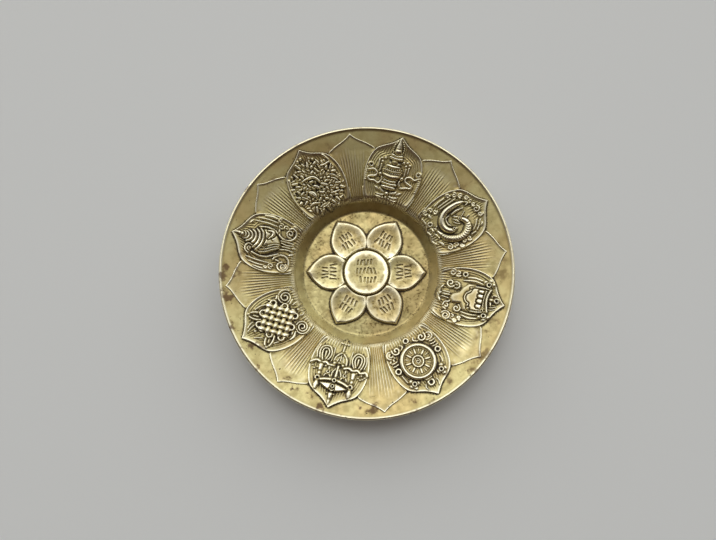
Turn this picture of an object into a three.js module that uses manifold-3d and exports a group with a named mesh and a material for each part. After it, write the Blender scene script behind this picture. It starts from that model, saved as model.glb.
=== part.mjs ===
// A round, shallow dish cast in one piece of brass. Its foot ring stands on z = 0. Inside, eight plain lower
// petals and eight upper petals lie on the sloping wall around a flat well with a six-petalled flower.
// Each upper petal carries one of the eight auspicious symbols.
import * as THREE from 'three';
import { mergeVertices } from 'three/addons/utils/BufferGeometryUtils.js';
import Module from 'manifold-3d';

const wasm = await Module();
wasm.setup();

const DEG = Math.PI / 180;

// Driving dimensions of the body, in mm
const RIM_RADIUS = 71;
const CREST_RADIUS = 70;
const HEIGHT = 20;
const WALL = 2.3;
const WELL_RADIUS = 31.5;
const WELL_Z = 4.9;
const SLOPE_INNER_RADIUS = 37.6;
const SLOPE_INNER_Z = 10.7;
const SLOPE_OUTER_RADIUS = 68.4;
const SLOPE_OUTER_Z = 18.6;
const FOOT_RADIUS = 33.2;
const FOOT_WIDTH = 3.2;
const FOOT_DEPTH = 2.4;
const BODY_SIDES = 48;

// Petals on the slope: a bearing is clockwise from +Y, seen from above
const PETAL_COUNT = 8;
const FIRST_BEARING = 15.5;
const PETAL_TIP = 67.8;
const PETAL_BASE = 34.6;
const PETAL_HALF_WIDTH = 14.4;
const PETAL_WIDEST = 49;
const PETAL_EDGE = 1.5;
const FIELD = 1;
const BASE_SHARE = 0.35;
const SINK = 0.5;
const LOWER_EDGE = 0.75;
const LOWER_FIELD = 0.4;
const RIB_COUNT = 5;
const RIB_RISE = 0.35;

// Flower in the well
const FLOWER_COUNT = 6;
const FLOWER_BEARING = 30.5;
const FLOWER_TIP = 30;
const FLOWER_HALF_WIDTH = 9.1;
const FLOWER_RISE = 1.6;
const CENTRE_RADIUS = 10.9;
const CENTRE_RISE = 1.8;
const CENTRE_SIDES = 20;
const CENTRE_GROOVE = 0.5;
const STROKE_DEPTH = 0.35;
const STROKE_WIDTH = 0.9;

// Section of the inside of the dish, from its centre to the crest of the rim
const INNER_PROFILE = [
  [0, WELL_Z],
  [WELL_RADIUS, WELL_Z],
  [SLOPE_INNER_RADIUS, SLOPE_INNER_Z],
  [SLOPE_OUTER_RADIUS, SLOPE_OUTER_Z],
  [CREST_RADIUS, HEIGHT],
];

// Height of the inside of the dish at a distance from its centre.
function insideZ(radius) {
  const last = INNER_PROFILE.length - 1;
  let k = 1;
  while (k < last && INNER_PROFILE[k][0] < radius) k += 1;
  const [r0, z0] = INNER_PROFILE[k - 1];
  const [r1, z1] = INNER_PROFILE[k];
  return z0 + (z1 - z0) * Math.min((radius - r0) / (r1 - r0), 1);
}

// A closed triangle mesh as a solid, turned to face outwards.
function solidOf(geometry) {
  geometry.deleteAttribute('normal');
  geometry.deleteAttribute('uv');
  const merged = mergeVertices(geometry, 1e-4);
  const at = merged.getAttribute('position');
  const index = merged.getIndex().array;
  const corners = [];
  let volume = 0;
  const [a, b, c] = [new THREE.Vector3(), new THREE.Vector3(), new THREE.Vector3()];
  for (let i = 0; i < index.length; i += 3) {
    const [p, q, r] = [index[i], index[i + 1], index[i + 2]];
    if (p === q || q === r || r === p) continue;
    corners.push(p, q, r);
    volume += a.fromBufferAttribute(at, p).dot(
      b.fromBufferAttribute(at, q).cross(c.fromBufferAttribute(at, r)));
  }
  const triVerts = new Uint32Array(volume < 0 ? corners.reverse() : corners);
  return new wasm.Manifold(new wasm.Mesh({ numProp: 3, vertProperties: at.array, triVerts }));
}

function join(solids) {
  return solids.reduce((whole, next) => whole.add(next));
}

// Lays a mesh given as (across, outward, above) on the dish, with its outward axis at a bearing.
function layOnDish(geometry, bearing) {
  const at = geometry.getAttribute('position');
  const [sin, cos] = [Math.sin(bearing * DEG), Math.cos(bearing * DEG)];
  for (let i = 0; i < at.count; i += 1) {
    const [u, v, h] = [at.getX(i), at.getY(i), at.getZ(i)];
    at.setXYZ(i, u * cos + v * sin, v * cos - u * sin, insideZ(Math.hypot(u, v)) + h);
  }
  return geometry;
}

// A mesh from points [x, y, z] and triangles [a, b, c].
function meshOf(points, triangles) {
  const geometry = new THREE.BufferGeometry();
  geometry.setAttribute('position', new THREE.Float32BufferAttribute(points.flat(), 3));
  geometry.setIndex(triangles.flat());
  return geometry;
}

// Skin over a row of sections with equal numbers of points. An open row is capped at both ends.
function skin(sections, closed = false) {
  const size = sections[0].length;
  const triangles = [];
  const steps = closed ? sections.length : sections.length - 1;
  for (let s = 0; s < steps; s += 1) {
    const next = (s + 1) % sections.length;
    for (let k = 0; k < size; k += 1) {
      const [a, b] = [s * size + k, s * size + ((k + 1) % size)];
      const [c, d] = [next * size + k, next * size + ((k + 1) % size)];
      triangles.push([a, b, d], [a, d, c]);
    }
  }
  if (!closed) {
    const end = (sections.length - 1) * size;
    for (let k = 1; k < size - 1; k += 1) {
      triangles.push([0, k + 1, k], [end, end + k, end + k + 1]);
    }
  }
  return meshOf(sections.flat(), triangles);
}

// Routes in a petal's own plane, as [across, outward] points
function arc(cu, cv, radius, from, to, steps) {
  return Array.from({ length: steps + 1 }, (_, k) => {
    const turn = (from + ((to - from) * k) / steps) * DEG;
    return [cu + radius * Math.cos(turn), cv + radius * Math.sin(turn)];
  });
}

function spiral(cu, cv, outer, inner, from, to, steps) {
  return Array.from({ length: steps + 1 }, (_, k) => {
    const turn = (from + ((to - from) * k) / steps) * DEG;
    const radius = outer + ((inner - outer) * k) / steps;
    return [cu + radius * Math.cos(turn), cv + radius * Math.sin(turn)];
  });
}

function curve(points, steps) {
  const path = new THREE.SplineCurve(points.map(([u, v]) => new THREE.Vector2(u, v)));
  return path.getPoints(steps).map((p) => [p.x, p.y]);
}

function mirrored(path, axis = 0) {
  return path.map(([u, v]) => [2 * axis - u, v]);
}

// A raised band along a route, with a keel along its top. Its width and rise are numbers, or functions of the
// way along, 0 to 1.
function band(path, width, rise, closed = false) {
  const widthAt = typeof width === 'function' ? width : () => width;
  const riseAt = typeof rise === 'function' ? rise : () => rise;
  const last = path.length - 1;
  const sections = path.map(([u, v], k) => {
    const before = path[closed ? (k + last) % path.length : Math.max(k - 1, 0)];
    const after = path[closed ? (k + 1) % path.length : Math.min(k + 1, last)];
    const length = Math.hypot(after[0] - before[0], after[1] - before[1]);
    const [nu, nv] = [(before[1] - after[1]) / length, (after[0] - before[0]) / length];
    const [half, top] = [widthAt(k / last) / 2, FIELD + riseAt(k / last)];
    const place = (side, h) => [u + nu * side * half, v + nv * side * half, h];
    return [place(-1.2, FIELD - SINK), place(0, top), place(1.2, FIELD - SINK)];
  });
  return skin(sections, closed);
}

function ring(cu, cv, radius, width, rise, sides) {
  return band(arc(cu, cv, radius, 0, 360 - 360 / sides, sides - 1), width, rise, true);
}

// A small pointed knob.
function bead(u, v, radius, rise = 0.9, sides = 4) {
  const knob = new THREE.ConeGeometry(radius * (1 + SINK / rise), rise + SINK, sides).rotateX(90 * DEG);
  return knob.translate(u, v, FIELD + (rise - SINK) / 2);
}

// A small keeled leaf that points along its turn, in degrees clockwise from the outward axis.
function leaf(u, v, length, width, rise, turn) {
  const [sin, cos] = [Math.sin(turn * DEG), Math.cos(turn * DEG)];
  const place = (across, along, h) => [
    u + across * cos + along * sin, v + along * cos - across * sin, FIELD + h,
  ];
  const [l, w] = [length * 0.6, width * 0.6];
  const points = [
    place(0, l, -SINK),
    place(-w, 0, -SINK),
    place(0, -l, -SINK),
    place(w, 0, -SINK),
    place(0, -l * 0.15, rise),
  ];
  return meshOf(points, [[0, 4, 1], [1, 4, 2], [2, 4, 3], [3, 4, 0], [0, 1, 2], [0, 2, 3]]);
}

// A turned form that lies half sunk in the field, with its axis along the petal.
function turned(cu, profile, depth, sides = 6) {
  const points = profile.map(([radius, v]) => new THREE.Vector2(radius, v));
  return new THREE.LatheGeometry(points, sides).scale(1, 1, depth).translate(cu, 0, FIELD - 0.1);
}

// A flat plate cut to an outline in the petal's plane.
function plate(outline, rise) {
  const shape = new THREE.Shape(outline.map(([u, v]) => new THREE.Vector2(u, v)));
  const slab = new THREE.ExtrudeGeometry(shape, { depth: rise + SINK, bevelEnabled: false, steps: 1 });
  return slab.translate(0, 0, FIELD - SINK);
}

// The eight symbols, each as a list of raised marks on its petal

function treasureVase() {
  const axis = -0.6;
  const profile = [
    [0, 66], [1.9, 60], [3, 57.8], [1.8, 56.2], [4.8, 51.6], [2.2, 47], [3.6, 45.4], [2.4, 44],
    [3.4, 42.4], [0, 41.4],
  ];
  const ribbon = curve([[12.4, 51.4], [8, 50], [6.4, 48.6], [10.2, 46], [9.4, 44.4], [5, 45.4]], 6);
  const marks = [turned(axis, profile, 0.45), bead(axis, 39.6, 1.6), leaf(axis, 37.2, 3, 2, 0.8, 0)];
  for (const side of [-1, 1]) {
    marks.push(band(side > 0 ? ribbon : mirrored(ribbon, axis), 1.4, 0.9));
    marks.push(bead(axis + side * 5.6, 55.6, 1.3));
    marks.push(leaf(axis + side * 5.2, 41.4, 5, 2, 1, side * 74));
    marks.push(leaf(axis + side * 3.6, 38.8, 5, 2, 0.9, side * 110));
  }
  return marks;
}

function goldenFish() {
  const [cu, cv] = [0.2, 49];
  const marks = [];
  const girth = (t) => 1.4 + 3.4 * Math.sin(Math.PI * Math.min(t * 0.86 + 0.1, 1));
  for (const start of [70, 250]) {
    const fish = spiral(cu, cv, 7.8, 2.4, start, start + 250, 8);
    marks.push(band(fish, girth, (t) => 0.6 + Math.sin(Math.PI * t)));
    const [tailU, tailV] = fish[0];
    for (const spread of [-28, 28]) marks.push(leaf(tailU, tailV, 4.6, 2, 0.9, 180 - start + spread));
  }
  const curls = 12;
  for (let k = 0; k < curls; k += 1) {
    const turn = (k * 360) / curls;
    const [u, v] = [cu + 11.2 * Math.cos(turn * DEG), cv + 11.8 * Math.sin(turn * DEG)];
    marks.push(leaf(u, v, 3.6, 2.2, 0.9, 20 - turn));
  }
  return marks;
}

function victoryBanner() {
  const axis = 0.2;
  const outline = [...arc(axis, 54, 5.4, 180, 360, 5), [axis + 5.4, 59], [axis - 5.4, 59]];
  const marks = [plate(outline, 0.4), band(curve([[-5.6, 60], [axis, 59], [6, 60]], 3), 1.3, 1.1)];
  marks.push(band(arc(axis, 53.6, 4, 190, 350, 4), 1, 0.9));
  marks.push(bead(axis - 1, 63, 1.5), band([[axis, 43.2], [axis, 37.4]], 1.5, 0.8));
  for (const shift of [-3, 0, 3]) marks.push(leaf(axis + shift, 56.4, 3, 1.9, 0.8, 180));
  for (const side of [-1, 1]) {
    marks.push(band([[axis + side * 8, 56.6], [axis + side * 8.4, 47]], 1.2, 0.7));
    marks.push(bead(axis + side * 7, 60.4, 1.3), leaf(axis + side * 10.6, 44.6, 4.6, 2, 0.9, 0));
    marks.push(band(spiral(axis + side * 5.4, 43.2, 2.4, 1.2, 60, 60 + side * 300, 6), 1.1, 0.9));
    marks.push(leaf(axis + side * 4, 38.4, 4.4, 2, 0.9, side * 62));
  }
  return marks;
}

function wheelOfLaw() {
  const [cu, cv] = [0.3, 50.1];
  const at = (radius, turn) => arc(cu, cv, radius, turn, turn, 1)[0];
  const marks = [ring(cu, cv, 7.7, 2, 1.2, 16), bead(cu, cv, 3, 1.1, 8)];
  for (const turn of [22.5, 67.5, 112.5, 157.5]) marks.push(band([at(7.4, turn), at(-7.4, turn)], 1, 0.5));
  for (const turn of [0, 90, 180, 270]) marks.push(bead(...at(10.8, turn), 1.6));
  for (const side of [-1, 1]) {
    marks.push(bead(cu + side * 7.4, cv + 8, 1.6, 1, 3));
    marks.push(band(spiral(cu + side * 9.2, 41.8, 2.4, 1.2, 90, 90 - side * 330, 6), 1.2, 0.9));
    marks.push(leaf(cu + side * 4.6, 40, 3.6, 1.8, 0.8, side * 70));
  }
  return marks;
}

function parasol() {
  const axis = 0.5;
  const [left, right] = [[-6.5, 57.6], [7.5, 57.6]];
  const canopy = [
    ...curve([left, [axis, 60.4], right], 4),
    ...curve([right, [axis, 56], left], 4).slice(1, -1),
  ];
  const marks = [plate(canopy, 0.9), band(curve([[-6.4, 56], [axis, 54.4], [7.4, 56]], 4), 1.2, 0.9)];
  marks.push(leaf(axis, 62.6, 5.4, 2.2, 1, 0), band([[axis, 54], [axis, 36.8]], 1.3, 0.9));
  marks.push(band([[-12.6, 48.4], [13, 48.4]], 1.4, 0.9), leaf(axis, 37, 5, 1.6, 0.9, 90));
  for (const side of [-1, 1]) {
    marks.push(bead(axis + side * 8, 58.6, 1.5), leaf(axis + side * 8.1, 53.8, 6, 2, 0.9, 0));
    marks.push(bead(axis + side * 4, 52.2, 1.3));
    marks.push(band(arc(axis + side * 8.1, 43.4, 2.8, 70, -250, 6), 1.4, 0.9));
    marks.push(band([[axis + side * 3.8, 47.8], [axis + side * 2.8, 44], [axis, 41.6]], 1.2, 0.9));
  }
  return marks;
}

function endlessKnot() {
  const [cu, cv] = [-0.2, 49.6];
  const [strands, pitch] = [4, 3.1];
  const middle = (strands - 1) / 2;
  const marks = [bead(cu, 60.4, 1.1, 1.1), bead(cu, 38.8, 1.1, 1.1)];
  for (const way of [1, -1]) {
    for (let k = 0; k < strands; k += 1) {
      const across = (k - middle) * pitch;
      const path = [-1, 1].map((end) => {
        const along = end * (middle + 0.5) * pitch;
        return [cu + way * (along - across) * Math.SQRT1_2, cv + (along + across) * Math.SQRT1_2];
      });
      marks.push(band(path, 1.8, way > 0 ? 1.2 : 0.9));
    }
  }
  for (const side of [-1, 1]) {
    marks.push(band([[side * 3.6, 56], [side * 8.2, 59.2], [side * 7.2, 54.2]], 1.3, 0.9));
    marks.push(band(spiral(side * 8, 41.2, 2.9, 1.3, 110, 110 - side * 330, 6), 1.2, 0.9));
    marks.push(leaf(side * 10, 47.4, 4.6, 2.2, 0.9, 0));
  }
  return marks;
}

function whiteConch() {
  const profile = [
    [0, 66], [1.7, 62.4], [1.4, 61.8], [2.8, 58.8], [2.3, 58.2], [4.3, 55.4], [3.8, 54.8], [6.2, 51],
    [5.6, 48], [0, 45.6],
  ];
  const marks = [turned(0.4, profile, 0.36)];
  marks.push(band(curve([[-5.8, 57.4], [-7.6, 52], [-5.6, 46.6], [-2.6, 42.8], [-2.2, 37.6]], 5), 1.5, 0.9));
  marks.push(band([[-3, 49.6], [-0.6, 44.6], [0.8, 38]], 1.3, 0.9));
  marks.push(band(curve([[6.8, 55.4], [7.8, 51], [5, 45.4], [3.4, 40.6], [5.2, 38.2]], 5), 1.3, 0.9));
  marks.push(band(spiral(-8, 41.4, 2.9, 1.3, -60, -400, 7), 1.3, 0.9));
  marks.push(band(spiral(8.4, 41.6, 2.8, 1.3, 240, 580, 7), 1.3, 0.9));
  for (const side of [-1, 1]) {
    marks.push(leaf(side * 10.4, 47.4, 3.6, 2, 0.9, 0));
    marks.push(band([[side * 9.4, 58], [side * 10.6, 51]], 1.2, 0.6));
  }
  return marks;
}

function lotusCluster() {
  const [cu, cv] = [-0.6, 49.4];
  const marks = [bead(cu - 1, cv - 1, 2.2, 1.5, 6)];
  const whorls = [[5, 4, 5, 3.4, 1.5, 10], [8, 7.8, 5.2, 3.4, 1.2, 28], [8, 10.6, 4.6, 3, 0.9, 5]];
  for (const [count, reach, length, width, rise, shift] of whorls) {
    for (let k = 0; k < count; k += 1) {
      const turn = shift + (k * 360) / count;
      const [u, v] = [cu + reach * Math.sin(turn * DEG), cv + 1.04 * reach * Math.cos(turn * DEG)];
      marks.push(leaf(u, v, length, width, rise, turn + 24));
    }
  }
  return [...marks, band([[5.6, 55.8], [10, 56]], 1.2, 1), band([[-7.6, 41.6], [-3, 40], [3, 38.8]], 1.4, 1)];
}

const SYMBOLS = [
  treasureVase, goldenFish, victoryBanner, wheelOfLaw, parasol, endlessKnot, whiteConch, lotusCluster,
];

// Body and petals

function body() {
  const outer = [
    [RIM_RADIUS, HEIGHT - 0.9],
    [RIM_RADIUS, HEIGHT - 1.7],
    [SLOPE_INNER_RADIUS, SLOPE_INNER_Z - WALL - 0.3],
    [FOOT_RADIUS + 1, FOOT_DEPTH],
    [FOOT_RADIUS - 0.3, 0],
    [FOOT_RADIUS - FOOT_WIDTH, 0],
    [FOOT_RADIUS - FOOT_WIDTH - 0.4, FOOT_DEPTH],
    [0, FOOT_DEPTH],
  ];
  const profile = [...INNER_PROFILE, ...outer].map(([r, z]) => new THREE.Vector2(r, z));
  return solidOf(new THREE.LatheGeometry(profile, BODY_SIDES).rotateX(90 * DEG));
}

// A whole outline, counter-clockwise, from its right-hand half.
function bothSides(half) {
  return [...half, ...mirrored(half).reverse().slice(1)];
}

// Slab of petal form. Each level is the outline drawn in by some mm, at some height above the dish, which
// fades to a share of itself at the base. The field inside the last level runs in to a few stations along the
// middle, so that it follows the round slope.
function petalSlab(half, levels, { middle, stations, fade, bearing }) {
  const outline = bothSides(half);
  const [size, rows] = [outline.length, half.length - 1];
  const widest = Math.max(...half.map(([u]) => u));
  const fadeAt = (v) => THREE.MathUtils.lerp(BASE_SHARE, 1, THREE.MathUtils.smoothstep(v, ...fade));
  const points = levels.flatMap(([inset, above]) => outline.map(([u, v]) => {
    const keep = 1 - inset / widest;
    return [u * keep, middle + (v - middle) * keep, above < 0 ? above : above * fadeAt(v)];
  }));
  const triangles = [];
  for (let at = 0; at < points.length - size; at += size) {
    for (let k = 0; k < size; k += 1) {
      const [a, b] = [at + k, at + ((k + 1) % size)];
      triangles.push([a, b, b + size], [a, b + size, a + size]);
    }
  }
  const field = points.length - size;
  const spine = stations.map((v) => points.push([0, v, levels[levels.length - 1][1] * fadeAt(v)]) - 1);
  const nearest = (k) => {
    const reach = stations.map((v) => Math.abs(v - points[field + k][1]));
    return spine[reach.indexOf(Math.min(...reach))];
  };
  for (let k = 0; k < rows; k += 1) {
    const [right, left] = [field + k, field + size - 1 - k];
    const [from, to] = [nearest(k), nearest(k + 1)];
    triangles.push([from, right, right + 1], [left, from, left - 1]);
    if (to !== from) triangles.push([from, right + 1, to], [from, to, left - 1]);
  }
  triangles.push([field, spine[0], field + size - 1]);
  for (let k = 1; k < size - 1; k += 1) triangles.push([0, k + 1, k]);
  return solidOf(layOnDish(meshOf(points, triangles), bearing));
}

function upperPetal(bearing, symbol) {
  const half = new THREE.Path();
  half.moveTo(9.4, PETAL_BASE);
  half.bezierCurveTo(12, 38.6, PETAL_HALF_WIDTH, 43, PETAL_HALF_WIDTH, PETAL_WIDEST);
  half.bezierCurveTo(PETAL_HALF_WIDTH, 54.6, 13, 60.3, 9.6, 62);
  half.bezierCurveTo(6.6, 63.5, 2.8, 64.9, 0, PETAL_TIP);
  const levels = [[0, -SINK], [0.5, PETAL_EDGE], [1.6, FIELD]];
  const place = { middle: 50, stations: [38, 45, 52, 59], fade: [PETAL_BASE, 38], bearing };
  const slab = petalSlab(half.getPoints(3).map((p) => [p.x, p.y]), levels, place);
  const marks = symbol().map((mark) => solidOf(layOnDish(mark, bearing)));
  return join([slab, ...marks]);
}

// Triangles between two rows of points that run the same way, which may differ in number.
function bridge(near, far) {
  const triangles = [];
  let [i, j] = [0, 0];
  while (i < near.length - 1 || j < far.length - 1) {
    const behind = i / (near.length - 1) < j / (far.length - 1);
    if (j === far.length - 1 || behind) {
      triangles.push([near[i], far[j], near[i + 1]]);
      i += 1;
    } else {
      triangles.push([near[i], far[j], far[j + 1]]);
      j += 1;
    }
  }
  return triangles;
}

// One lower petal, whose sides run under the upper petals. Its fan of fine ribs dies away before its raised
// tip. It is built as rows of points from right to left, each further out than the one before.
function lowerPetal(bearing) {
  const ribRow = (v, half, rise, arch) => Array.from({ length: RIB_COUNT * 2 + 1 }, (_, k) => {
    const place = 1 - k / RIB_COUNT;
    return [place * half, v + arch * (1 - place * place), LOWER_FIELD + (k % 2) * rise];
  });
  const tip = new THREE.Path();
  tip.moveTo(11.8, 59.6);
  tip.bezierCurveTo(9, 62.8, 3.4, 64.4, 0, PETAL_TIP);
  const edge = bothSides(tip.getPoints(3).map((p) => [p.x, p.y]));
  const rows = [
    ribRow(36, 4.6, RIB_RISE, 0),
    ribRow(50, 5.8, RIB_RISE, 0),
    ribRow(59.5, 10.6, 0, 1),
    edge.map(([u, v]) => [u * 0.93, v - 0.8, LOWER_FIELD]),
    edge.map(([u, v]) => [u, v, LOWER_EDGE]),
  ];
  const points = rows.flat();
  let count = 0;
  const ids = rows.map((row) => row.map(() => count++));
  const triangles = ids.slice(1).flatMap((row, k) => bridge(ids[k], row));
  // The border of this top goes down into the body, and a fan closes it below.
  const [first, last] = [ids[0], ids[ids.length - 1]];
  const between = ids.slice(1, -1);
  const border = [
    ...first.slice().reverse(), ...between.map((row) => row[0]), ...last,
    ...between.map((row) => row[row.length - 1]).reverse(),
  ];
  const under = points.length;
  border.forEach((k) => points.push([points[k][0], points[k][1], -SINK]));
  const hub = points.push([0, 52, -SINK]) - 1;
  border.forEach((k, n) => {
    const next = (n + 1) % border.length;
    triangles.push([k, under + n, under + next], [k, under + next, border[next]]);
    triangles.push([hub, under + next, under + n]);
  });
  return solidOf(layOnDish(meshOf(points, triangles), bearing));
}

// Rows of short slanted grooves, cut where the flower carries its marks.
function strokes(rows, columns, pitch, middle, above) {
  const marks = [];
  const [top, bottom] = [above + STROKE_DEPTH, above - STROKE_DEPTH];
  for (let row = 0; row < rows; row += 1) {
    for (let column = 0; column < columns; column += 1) {
      const u = (column - (columns - 1) / 2) * pitch;
      const v = middle + (row - (rows - 1) / 2) * pitch * 0.8;
      const lean = row % 2 ? 0.3 : -0.3;
      marks.push(skin([-1, 1].map((end) => {
        const [x, y] = [u + end * 0.36 * pitch, v + end * lean * pitch];
        return [[x, y - STROKE_WIDTH, top], [x, y + STROKE_WIDTH, top], [x, y, bottom]];
      })));
    }
  }
  return marks;
}

function flower() {
  const half = new THREE.Path();
  half.moveTo(4.4, 9.6);
  half.bezierCurveTo(7.4, 11.4, FLOWER_HALF_WIDTH, 14, FLOWER_HALF_WIDTH, 17.6);
  half.bezierCurveTo(FLOWER_HALF_WIDTH, 22.6, 4.4, 25.6, 0, FLOWER_TIP);
  const side = half.getPoints(3).map((p) => [p.x, p.y]);
  const levels = [[0, -SINK], [0, FLOWER_RISE * 0.5], [1.6, FLOWER_RISE]];
  const cutAt = (bearing) => (cut) => solidOf(layOnDish(cut, bearing));
  const petals = Array.from({ length: FLOWER_COUNT }, (_, k) => {
    const bearing = FLOWER_BEARING + (k * 360) / FLOWER_COUNT;
    const petal = petalSlab(side, levels, { middle: 18.5, stations: [14, 21], fade: [0, 1], bearing });
    return petal.subtract(join(strokes(2, 1, 5, 18.4, FLOWER_RISE).map(cutAt(bearing))));
  });
  const disc = (radius, top) => {
    const profile = [[0, top], [radius * 0.85, top - 0.3], [radius, top - 1], [radius, -SINK], [0, -SINK]];
    const points = profile.map(([r, h]) => new THREE.Vector2(r, insideZ(r) + h));
    return solidOf(new THREE.LatheGeometry(points, CENTRE_SIDES).rotateX(90 * DEG));
  };
  const cuts = strokes(2, 2, 5, 0, CENTRE_RISE - 0.1).map(cutAt(FLOWER_BEARING));
  const centre = disc(CENTRE_RADIUS, CENTRE_RISE).subtract(join(cuts));
  return join(petals).subtract(disc(CENTRE_RADIUS + CENTRE_GROOVE, HEIGHT)).add(centre);
}

function castDish() {
  const step = 360 / PETAL_COUNT;
  const lower = SYMBOLS.map((_, k) => lowerPetal(FIRST_BEARING + (k + 0.5) * step));
  const upper = SYMBOLS.map((symbol, k) => upperPetal(FIRST_BEARING + k * step, symbol));
  return join([body(), ...lower, ...upper, flower()]);
}

// A solid's triangles as a geometry for display.
function geometryOf(solid) {
  const { vertProperties, triVerts } = solid.getMesh();
  const geometry = new THREE.BufferGeometry();
  geometry.setAttribute('position', new THREE.BufferAttribute(vertProperties, 3));
  geometry.setIndex(new THREE.BufferAttribute(triVerts, 1));
  geometry.computeVertexNormals();
  return geometry;
}

const brass = new THREE.MeshStandardMaterial({
  color: 0xa98f52, roughness: 0.42, metalness: 1, flatShading: true,
});
const dish = new THREE.Mesh(geometryOf(castDish()), brass);
dish.name = 'relief_dish';

const group = new THREE.Group();
group.add(dish);

export default group;
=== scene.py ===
# A shallow brass dish that was cast in one piece. Eight lower petals and eight upper petals lie on its sloping
# wall, around a flat well with a six-petalled flower. Each upper petal carries one auspicious symbol in relief.
# Shapes are worked out in mm. Heights on the inside are given as mm above the smooth inside of the dish.
import math

import bpy
import numpy as np
from mathutils import Matrix, Vector


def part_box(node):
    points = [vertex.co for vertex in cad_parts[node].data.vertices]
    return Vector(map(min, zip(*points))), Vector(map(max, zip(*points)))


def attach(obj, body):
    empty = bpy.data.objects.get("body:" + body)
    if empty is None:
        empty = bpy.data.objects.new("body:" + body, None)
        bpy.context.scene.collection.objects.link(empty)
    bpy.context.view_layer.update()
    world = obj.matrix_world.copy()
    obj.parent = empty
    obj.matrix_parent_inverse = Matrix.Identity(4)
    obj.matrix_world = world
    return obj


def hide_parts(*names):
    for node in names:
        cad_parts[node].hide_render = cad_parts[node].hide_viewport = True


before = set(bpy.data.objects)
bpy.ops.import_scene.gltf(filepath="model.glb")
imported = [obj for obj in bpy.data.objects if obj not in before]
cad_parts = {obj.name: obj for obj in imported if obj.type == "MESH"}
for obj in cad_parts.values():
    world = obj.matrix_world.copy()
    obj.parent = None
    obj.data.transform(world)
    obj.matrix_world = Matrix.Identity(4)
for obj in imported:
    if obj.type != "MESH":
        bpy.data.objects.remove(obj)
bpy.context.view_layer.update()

MM = 0.001
low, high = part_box("relief_dish")

# Body
RIM_RADIUS = high.x / MM
HEIGHT = high.z / MM
CREST_RADIUS = RIM_RADIUS - 1.0
INNER_PROFILE = ((0, 4.9), (31.6, 4.9), (36.8, 10.2), (60, 16.5), (69.2, 19.3), (CREST_RADIUS, HEIGHT - 0.03))
WELL_RADIUS = 31.5
FOOT_RADIUS = 33.2
FOOT_WIDTH = 3.2
FOOT_DEPTH = 2.4
SINK = 0.6

# Petals on the slope. A bearing is in degrees clockwise from +Y, seen from above.
PETAL_COUNT = 8
FIRST_BEARING = 15.5
PETAL_TIP = 67.8
PETAL_BASE = 34.6
PETAL_EDGE = 1.5
FIELD = 0.85
BORDER = 3.0
RIB_RISE = 0.42

# Flower in the well
FLOWER_COUNT = 6
FLOWER_BEARING = 30.5
FLOWER_RISE = 1.75
BOSS_RADIUS = 11.3
BOSS_RISE = 1.9

STROKE = 1.15

SEED = 7


def inside_z(radius):
    """Height in mm of the smooth inside of the dish, whose corners are eased, at a distance from its centre."""
    r, z = np.array(INNER_PROFILE).T
    ease = np.interp(radius, (32, 35, 45, 64), (0.5, 1.5, 1.5, 0.25))
    shifts = (-1, -0.5, 0, 0.5, 1)
    return sum(np.interp(radius + shift * ease, r, z) for shift in shifts) / len(shifts)


def smoothstep(value, start, stop):
    t = np.clip((value - start) / (stop - start), 0, 1)
    return t * t * (3 - 2 * t)


def through(points, x):
    """A smooth value at x, through a few (x, value) points."""
    xs, ys = np.array(points, float).T
    slopes = np.gradient(ys, xs)
    k = np.clip(np.searchsorted(xs, x) - 1, 0, len(xs) - 2)
    width = xs[k + 1] - xs[k]
    t = np.clip((x - xs[k]) / width, 0, 1)
    start = (1 + 2 * t) * (1 - t) ** 2 * ys[k] + t * (1 - t) ** 2 * width * slopes[k]
    return start + t * t * (3 - 2 * t) * ys[k + 1] + t * t * (t - 1) * width * slopes[k + 1]


def on_dish(u, v, above, bearing=0.0):
    """Points in metres from mm across a petal, mm outward along it and mm above the inside of the dish."""
    turn = math.radians(bearing)
    x = u * math.cos(turn) + v * math.sin(turn)
    y = v * math.cos(turn) - u * math.sin(turn)
    z = inside_z(np.hypot(u, v)) + above
    return np.stack([x, y, z], -1) * MM


def mesh_object(name, points, faces):
    """A smooth-shaded object from an array of points and a list of faces."""
    mesh = bpy.data.meshes.new(name)
    mesh.from_pydata(points.reshape(-1, 3).tolist(), [], faces)
    mesh.polygons.foreach_set("use_smooth", [True] * len(mesh.polygons))
    mesh.update()
    piece = bpy.data.objects.new(name, mesh)
    bpy.context.scene.collection.objects.link(piece)
    return piece


def slab(name, points):
    """A closed slab under a grid of points: rows run outward, and columns run across from left to right."""
    rows, columns = points.shape[:2]
    chosen = np.linspace(0, columns - 1, 13).astype(int)
    under = points[:, chosen].copy()
    under[..., 2] = (inside_z(np.hypot(under[..., 0], under[..., 1]) / MM) - SINK) * MM
    top = np.arange(rows * columns).reshape(rows, columns)
    base = rows * columns + np.arange(under[..., 0].size).reshape(rows, -1)
    faces = []
    for grid, order in ((top, (0, 1, 2, 3)), (base, (3, 2, 1, 0))):
        corners = (grid[:-1, :-1], grid[:-1, 1:], grid[1:, 1:], grid[1:, :-1])
        faces += np.stack([corners[k] for k in order], -1).reshape(-1, 4).tolist()
    for k in range(rows - 1):
        faces.append([int(n) for n in (top[k + 1, 0], base[k + 1, 0], base[k, 0], top[k, 0])])
        faces.append([int(n) for n in (top[k, -1], base[k, -1], base[k + 1, -1], top[k + 1, -1])])
    for j, (start, stop) in enumerate(zip(chosen, chosen[1:])):
        faces.append([int(base[0, j]), int(base[0, j + 1]), *top[0, start:stop + 1][::-1].tolist()])
        faces.append([int(base[-1, j + 1]), int(base[-1, j]), *top[-1, start:stop + 1].tolist()])
    return mesh_object(name, np.concatenate([points.reshape(-1, 3), under.reshape(-1, 3)]), faces)


# Node trees

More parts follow.
